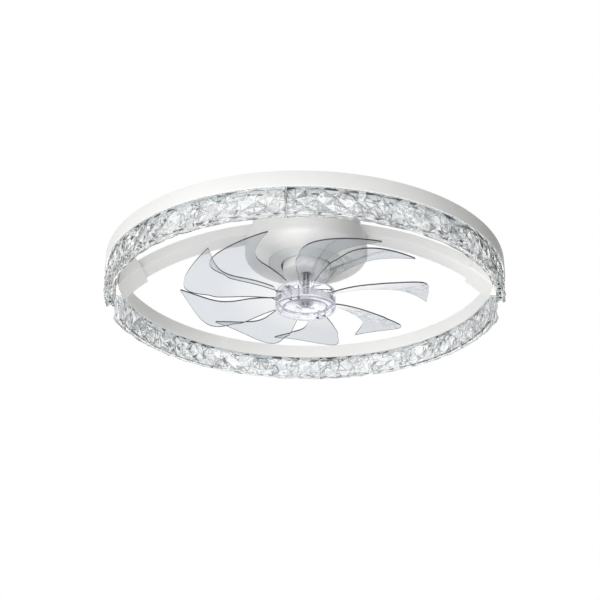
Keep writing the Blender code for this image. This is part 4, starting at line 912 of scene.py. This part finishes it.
# %% Housing, cover, case
HOUSE_R, HOUSE_TOP, SIDE_END, LEDGE, LEDGE_Z = 0.079, -0.0249, -0.0460, 0.058, -0.0593
bowl = [(HOUSE_R, HOUSE_TOP), (HOUSE_R, SIDE_END)]
FULL_OUT, FULL_DOWN = 0.92, 0.98
turn = np.linspace(0, math.pi / 2, 12)[1:]
bowl += list(zip(LEDGE + (HOUSE_R - LEDGE) * np.cos(turn) ** FULL_OUT,
                 SIDE_END + (LEDGE_Z - SIDE_END) * np.sin(turn) ** FULL_DOWN))
outside = bowl + [(0.048, LEDGE_Z)]
inside = [(0.048, LEDGE_Z + WALL), (LEDGE, LEDGE_Z + WALL), (0.0705, -0.0545), (0.0765, -0.0470),
          (HOUSE_R - WALL, -0.0440), (HOUSE_R - WALL, HOUSE_TOP - WALL), (0.012, HOUSE_TOP - WALL),
          (0.012, HOUSE_TOP)]
turned_ring("housing_dish", outside + inside, 0.0007, 160, "lamp",
            stands_for=["motor_housing"], slot="white_paint", sharp=40.0, looks=[white_paint])

cover_corners = ((0.0570, -0.0563), (0.0570, -0.0575), (0.0476, -0.0575), (0.0476, -0.0593),
                 (0.0320, -0.0630), (0.0320, -0.0616), (0.0462, -0.0579), (0.0462, -0.0563))
turned_ring("cover_ring", cover_corners, 0.0004, 144, "lamp", stands_for=["motor_cover"],
            slot="pale_paint", looks=[pale_paint])

case_corners = ((0.0303, -0.0286), (0.0303, -0.0600), (0.0293, -0.0705), (0.0283, -0.0735),
                (0.0109, -0.0735), (0.0097, -0.0723), (0.0064, -0.0723), (0.0064, -0.0708),
                (0.0084, -0.0708), (0.0084, -0.0662), (0.0102, -0.0662), (0.0102, -0.0713),
                (0.0268, -0.0716), (0.0288, -0.0600), (0.0288, -0.0286))
turned_ring("motor_can", case_corners, 0.0008, 128, "lamp", stands_for=["motor_case"],
            slot="white_paint", looks=[white_paint])

# %% [markdown]
# ## Shaft and hub
# A ground steel shaft carries the hub. Its dark and bright stripes are painted shade
# and highlights in the finish, so the piece itself is a plain turned rod with broken
# edges.

# %% Shaft
SHAFT_R, SHAFT_TOP, SHAFT_LOW = 0.0045, -0.0290, -0.1185
shaft_corners = ((0, SHAFT_TOP), (SHAFT_R, SHAFT_TOP), (SHAFT_R, SHAFT_LOW), (0, SHAFT_LOW))
turned_solid("drive_shaft", shaft_corners, 0.0005, 64, "rotor", stands_for=["shaft"],
             slot="dark_steel", looks=[ground_steel])
print("shaft in mm:", round(1000 * (SHAFT_TOP - SHAFT_LOW), 1))

# %% [markdown]
# The hub is a clear cup turned from acrylic and closed below by a clear disc with a
# shallow ring cut into it. The block that holds the blade roots is bonded into the cup
# with clear cement, so the joint can't be seen and both are one surface here. Pairs of
# small dark screws go up through the disc.

# %% Hub
cup_corners = ((0.0052, -0.1005), (0.0380, -0.1005), (0.0380, -0.1198), (0.0364, -0.1198),
               (0.0357, -0.1113), (0.0052, -0.1113))
turned_ring("hub_cup", cup_corners, 0.0009, 128, "rotor",
            stands_for=["hub_shell", "hub_core"], slot="clear_blade", looks=[clear_hub])
cap_corners = ((0, -0.1201), (0.0380, -0.1201), (0.0380, -0.1230), (0.0305, -0.1230),
               (0.0305, -0.1223), (0.0289, -0.1223), (0.0289, -0.1230), (0, -0.1230))
turned_solid("hub_disc", cap_corners, 0.0006, 128, "rotor",
             stands_for=["hub_cap"], slot="clear_blade", looks=[clear_hub])

# %% [markdown]
# ## Blades
# Nine blades are cut from clear sheet and formed warm. Seen from below they sweep
# like sickles: two smooth edge curves bound them, and the surface between rises from
# one edge to the other with a pitch that eases from 18.9 to 15.4 degrees, less a
# small camber. Near the hub the surface flattens into the root's slope.

# %% Blade surface
TIP_R, HUB_R, FLARE_R, SPAN = 0.1595, 0.0388, 0.045, 0.127
SHEET, SPACING = 0.0018, 2 * math.pi / 9
ROOT_PITCH, PITCH_EASE, NECK_SHARE = 18.85, 3.5, 0.4
ROOT_Z, DROP, CAMBER, HALF_CHORD, ROOT_DIP = -0.10135, 0.01255, 0.0029, 0.05, 0.0055
TRAILING = np.array(((0.2257, -0.2325), (0.4702, -0.19), (0.7022, -0.1475),
                     (0.7743, -0.0925), (0.9668, 0.09), (1.0, 0.84)))
LEADING = np.array(((0.2257, 0.415), (0.5016, 0.40), (0.7524, 0.485), (1.0, 0.84)))


def blade_level(radius, arc):
    """The height is the root's, less the drop times the share of the span, plus the
    pitch's tangent times the arc, less the camber and the slope at the root. The share
    of the span counts from the hub outward, the arc is radius times angle."""
    share = np.clip((radius - HUB_R) / SPAN, 0.0, None)
    pitch = np.radians(ROOT_PITCH - PITCH_EASE * share)
    blend = np.clip(share / NECK_SHARE, 0, 1)
    return (ROOT_Z - DROP * share + np.tan(pitch) * arc
            - CAMBER * (arc / HALF_CHORD) ** 2 * blend - ROOT_DIP * (1 - blend) ** 2)


def smooth_line(shares):
    """A natural cubic through points given as shares of tip radius and spacing."""
    radius, turn = shares[:, 0] * TIP_R, shares[:, 1] * SPACING
    knots = np.stack([radius * np.cos(turn), radius * np.sin(turn)], 1)
    count = len(knots)
    system = np.eye(count)
    inner = np.arange(1, count - 1)
    system[inner, inner - 1], system[inner, inner], system[inner, inner + 1] = 1, 4, 1
    right = np.zeros((count, 2))
    right[1:-1] = 6 * (knots[2:] - 2 * knots[1:-1] + knots[:-2])
    bend = np.linalg.solve(system, right)
    place = np.linspace(0, count - 1, SAMPLES)
    low = np.minimum(place.astype(int), count - 2)
    t = (place - low)[:, None]
    return ((1 - t) * knots[low] + t * knots[low + 1]
            + ((1 - t) ** 3 - (1 - t)) * bend[low] / 6 + (t ** 3 - t) * bend[low + 1] / 6)


def edge_stations(shares, share_of_length):
    """Points of an edge beyond the flare at shares of its length."""
    curve = smooth_line(shares)
    curve = curve[np.hypot(curve[:, 0], curve[:, 1]) > FLARE_R]
    run = np.concatenate([[0], np.cumsum(np.linalg.norm(np.diff(curve, axis=0), axis=1))])
    return np.stack([np.interp(share_of_length * run[-1], run, curve[:, k]) for k in (0, 1)], 1)


print("pitch in degrees, hub and tip:", ROOT_PITCH, round(ROOT_PITCH - PITCH_EASE, 2))

# %% [markdown]
# The root is a straight tab in the hub, the neck widens outside it, and the last few
# stations close in on the tip so that it ends round instead of square.

# %% Blade grid
BODY_SHARE, TIP_SHARE = 0.94, 0.052
root = np.array(((0.0250, 0.0034), (0.0340, 0.0034), (0.0362, 0.0050), (HUB_R, 0.0050)))
along = np.concatenate([np.linspace(0, BODY_SHARE, 40),
                        BODY_SHARE + TIP_SHARE * np.sin(np.linspace(0, math.pi / 2, 9))[1:]])
trailing = np.vstack([root * (1, -1), edge_stations(TRAILING, along)])
leading = np.vstack([root, edge_stations(LEADING, along)])
COLUMNS = 14
ROUND = 2 * COLUMNS
share = np.linspace(0, 1, COLUMNS)[None, :, None]
plan = trailing[:, None] + (leading - trailing)[:, None] * share
radius = np.hypot(plan[..., 0], plan[..., 1])
level = blade_level(radius, radius * np.arctan2(plan[..., 1], plan[..., 0]))
rows = len(plan)
sheet_points = np.concatenate([np.dstack([plan, level - SHEET / 2]),
                               np.dstack([plan, level + SHEET / 2])[:, ::-1]], axis=1)
cells = lattice(rows, ROUND, False, True)
on_rim = np.isin(cells[:, 0] % ROUND, (COLUMNS - 1, ROUND - 1))
on_rim &= cells[:, 0] // ROUND >= len(root) - 1
low_side = np.arange(COLUMNS)
cap = np.stack([low_side[:-1], low_side[1:], ROUND - 1 - low_side[1:],
                ROUND - 1 - low_side[:-1]], 1)
caps = np.vstack([cap[:, ::-1], cap + (rows - 1) * ROUND])
print("a blade's grid:", rows, "by", ROUND)

# %% [markdown]
# The photograph's blades don't stand evenly, so each blade of the CAD model has a turn
# of its own, given here as a share of the even spacing.

# %% Nine blades
FIRST_BLADE = math.radians(-174.4)
TURNS = np.array((0.175, -0.075, 0.145, -0.315, -0.18, 0.1625, 0.215, 0.08, 0.045))
blade_angles = FIRST_BLADE + SPACING * (np.arange(9) + TURNS)
for index, angle in enumerate(blade_angles):
    spin = np.array(((math.cos(angle), math.sin(angle), 0), (-math.sin(angle), math.cos(angle), 0),
                     (0, 0, 1)))
    blade = piece(f"clear_blade_{index + 1}", sheet_points.reshape(-1, 3) @ spin,
                  [cells[~on_rim], cells[on_rim], caps], "rotor",
                  stands_for=[f"blade_{index + 1}"], slot="clear_blade", sharp=35.0,
                  looks=(clear_sheet, sheet_rim))
    which = np.zeros(len(blade.data.polygons), np.int32)
    which[int((~on_rim).sum()):] = 1
    blade.data.polygons.foreach_set("material_index", which)

# %% [markdown]
# ## Finishes on the CAD pieces that stay
# The small inner pieces are already the right shape. Each gets the finish of the real
# thing in place of the plain CAD colour. The far plugs take the crystal's finish,
# which is plain clear on them, because they carry no facet numbers.

# %% Carried-over pieces
looks = {
    plated_steel: ("ceiling_bracket", "bracket_bolt_left", "bracket_bolt_right", "foot_screw_1",
                   "foot_screw_2", "foot_screw_3", "foot_screw_4", "housing_screw_left",
                   "housing_screw_right", "motor_end_plate", "motor_screw_near",
                   "motor_screw_far", "upper_bearing", "lower_bearing", "hub_nut"),
    black_steel: ("hub_screw_1", "hub_screw_2", "hub_screw_3", "hub_screw_4"),
    stacked_iron: ("motor_stator",),
    copper_wire: ("motor_coils",),
    ferrite: ("rotor_magnet",),
    box_plastic: ("fan_driver", "light_driver"),
    terminal_plastic: ("terminal_block",),
    ribbed_plug: ("end_plug_near_left", "end_plug_near_right"),
    crystal: ("end_plug_far_left", "end_plug_far_right"),
}
for look, names in looks.items():
    for name in names:
        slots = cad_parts[name].data.materials
        slots.clear()
        slots.append(look)
print("CAD pieces with a finish:", sum(len(names) for names in looks.values()))

# %% [markdown]
# ## The studio
# The lamp hangs in the air over a pale floor. Light comes from all round, stronger
# from the photographer's left and from above, and weaker from the far right, so the
# ring's right side turns grey as it does in the photograph. What the camera, a
# reflection or clear acrylic sees beyond the lamp is plain white.

# %% World
world = bpy.data.worlds.new("studio")
bpy.context.scene.world = world
world.use_nodes = True
sky = world.node_tree
sky.nodes.clear()
way = add(sky, "ShaderNodeTexCoord")
toward = add(sky, "ShaderNodeVectorMath", {"operation": "DOT_PRODUCT"})
sky.links.new(way.outputs["Generated"], toward.inputs[0])
BRIGHT_WAY, DIM_SIDE, BRIGHT_SIDE, OVERHEAD = (-0.6, -0.8, 0.0), 0.05, 0.37, 0.80
toward.inputs[1].default_value = BRIGHT_WAY
side = add(sky, "ShaderNodeMapRange",
           {"From Min": -0.6, "From Max": 1.0, "To Min": DIM_SIDE, "To Max": BRIGHT_SIDE},
           {"Value": toward.outputs["Value"]})
parts = add(sky, "ShaderNodeSeparateXYZ", {}, {"Vector": way.outputs["Generated"]})
above = add(sky, "ShaderNodeMapRange",
            {"From Min": 0.2, "From Max": 1.0, "To Min": 0.0, "To Max": OVERHEAD},
            {"Value": parts.outputs["Z"]})
level = reckon(sky, "ADD", side.outputs["Result"], above.outputs["Result"])
soft = add(sky, "ShaderNodeBackground", {"Color": ink("#ffffff")}, {"Strength": level})
plain = add(sky, "ShaderNodeBackground", {"Color": ink("#ffffff"), "Strength": 1.0})
path = add(sky, "ShaderNodeLightPath")
seen = reckon(sky, "ADD", path.outputs["Is Camera Ray"], path.outputs["Is Glossy Ray"])
seen = reckon(sky, "ADD", seen, path.outputs["Is Transmission Ray"], use_clamp=True)
mixed = add(sky, "ShaderNodeMixShader", {}, {"Fac": seen})
sky.links.new(soft.outputs[0], mixed.inputs[1])
sky.links.new(plain.outputs[0], mixed.inputs[2])
add(sky, "ShaderNodeOutputWorld", {}, {"Surface": mixed.outputs[0]})
print("world light from the bright side:", DIM_SIDE, "to", BRIGHT_SIDE)

# %% [markdown]
# The floor is a wide pale disc 1.5 m below the ceiling plane. A black card on the right
# gives the clear pieces something dark to mirror, as a product photographer does with
# acrylic. It is hidden from the camera, from shadows and from what acrylic lets through.

# %% Floor and card
floor_look = plain_finish("pale studio floor, matt", "#f2f2f0", "#f6f6f5", 1.5,
                          {"Roughness": 0.9, "IOR": 1.4})
card_look = plain_finish("black card, matt", "#101010", "#181818", 2.0,
                         {"Roughness": 0.95, "IOR": 1.3})
FLOOR_R, FLOOR_Z, CARD_X = 30.0, -1.5, 1.4


def flat_panel(name, corners, look):
    """A flat stage panel from its corners."""
    mesh = bpy.data.meshes.new(name)
    mesh.from_pydata(corners, [], [tuple(range(len(corners)))])
    mesh.materials.append(look)
    made = bpy.data.objects.new(name, mesh)
    bpy.context.collection.objects.link(made)
    made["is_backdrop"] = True
    return made


turn = np.linspace(0, 2 * math.pi, 96, endpoint=False)
flat_panel("floor", [(FLOOR_R * math.cos(a), FLOOR_R * math.sin(a), FLOOR_Z) for a in turn],
           floor_look)
card_corners = ((-0.7, -0.4), (1.8, -0.4), (1.8, 1.5), (-0.7, 1.5))
card = flat_panel("card_right", [(CARD_X, y, z) for y, z in card_corners], card_look)
card.visible_camera = card.visible_shadow = card.visible_transmission = False

# %% [markdown]
# A soft lamp stands in front of the ring, to the left and below it, so that its light
# passes under the near crystals to the motor housing. A second one, nearer and lower,
# reaches the dish and the motor case. They leave what faces right in the half-light. A
# lamp behind keeps the back of the ring as white as its front. It is kept out of
# reflections and out of what is seen through acrylic, so no bright square shows there.

# %% Lamps
AIM = (0.0, 0.0, -0.08)


def soft_lamp(name, spot, size, power):
    """A square area lamp at a spot, turned to look at the middle of the ring."""
    data = bpy.data.lights.new(name, "AREA")
    data.shape, data.size, data.energy = "SQUARE", size, power
    made = bpy.data.objects.new(name, data)
    made.location = spot
    way = np.array(AIM) - np.array(spot)
    flat = math.hypot(way[0], way[1])
    made.rotation_euler = (math.atan2(flat, -way[2]), 0.0, math.atan2(-way[0], way[1]))
    bpy.context.collection.objects.link(made)
    made.visible_camera = False
    print(name, "at", power, "watts")
    return made


soft_lamp("front lamp", (-0.66, -1.17, -0.95), 0.8, 6.5)
soft_lamp("low lamp", (-0.3, -0.8, -1.0), 1.0, 6.0)
back_lamp = soft_lamp("back lamp", (0.2, 2.0, -0.1), 0.9, 12.0)
back_lamp.visible_glossy = back_lamp.visible_transmission = False

# %% [markdown]
# ## The camera
# The photographer stands 1.2 m away and looks up at the lamp by 26 degrees. The lens
# and its middle are given in pixels of the 600 by 600 picture, and the shift moves the
# frame off the lens's middle.

# %% Camera
FRAME_WIDE, LENS, MIDDLE_X, MIDDLE_Y = 600, 932.7, 332.21, 276.78
DISTANCE, ASIDE, LOOK_UP = 1.19324, 0.03359, math.radians(26.24)
camera_data = bpy.data.cameras.new("camera")
camera_data.sensor_width = 36.0
camera_data.lens = 36.0 * LENS / FRAME_WIDE
camera_data.shift_x = -(MIDDLE_X - FRAME_WIDE / 2) / FRAME_WIDE
camera_data.shift_y = (MIDDLE_Y - FRAME_WIDE / 2) / FRAME_WIDE
camera = bpy.data.objects.new("camera", camera_data)
camera.location = (ASIDE, -DISTANCE * math.cos(LOOK_UP),
                   -DISTANCE * math.sin(LOOK_UP) + RING_TOP)
camera.rotation_euler = (math.radians(90) + LOOK_UP, 0.0, 0.0)
bpy.context.collection.objects.link(camera)
bpy.context.scene.camera = camera
bpy.context.scene.view_settings.view_transform = "Standard"
print("lens in mm:", round(camera_data.lens, 2))

# %% [markdown]
# ## Sizes
# The box of the dressed model is printed in millimetres.

# %% Sizes
low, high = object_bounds()
print("visual box in mm:", [round(1000 * v, 1) for v in (*low, *high)])
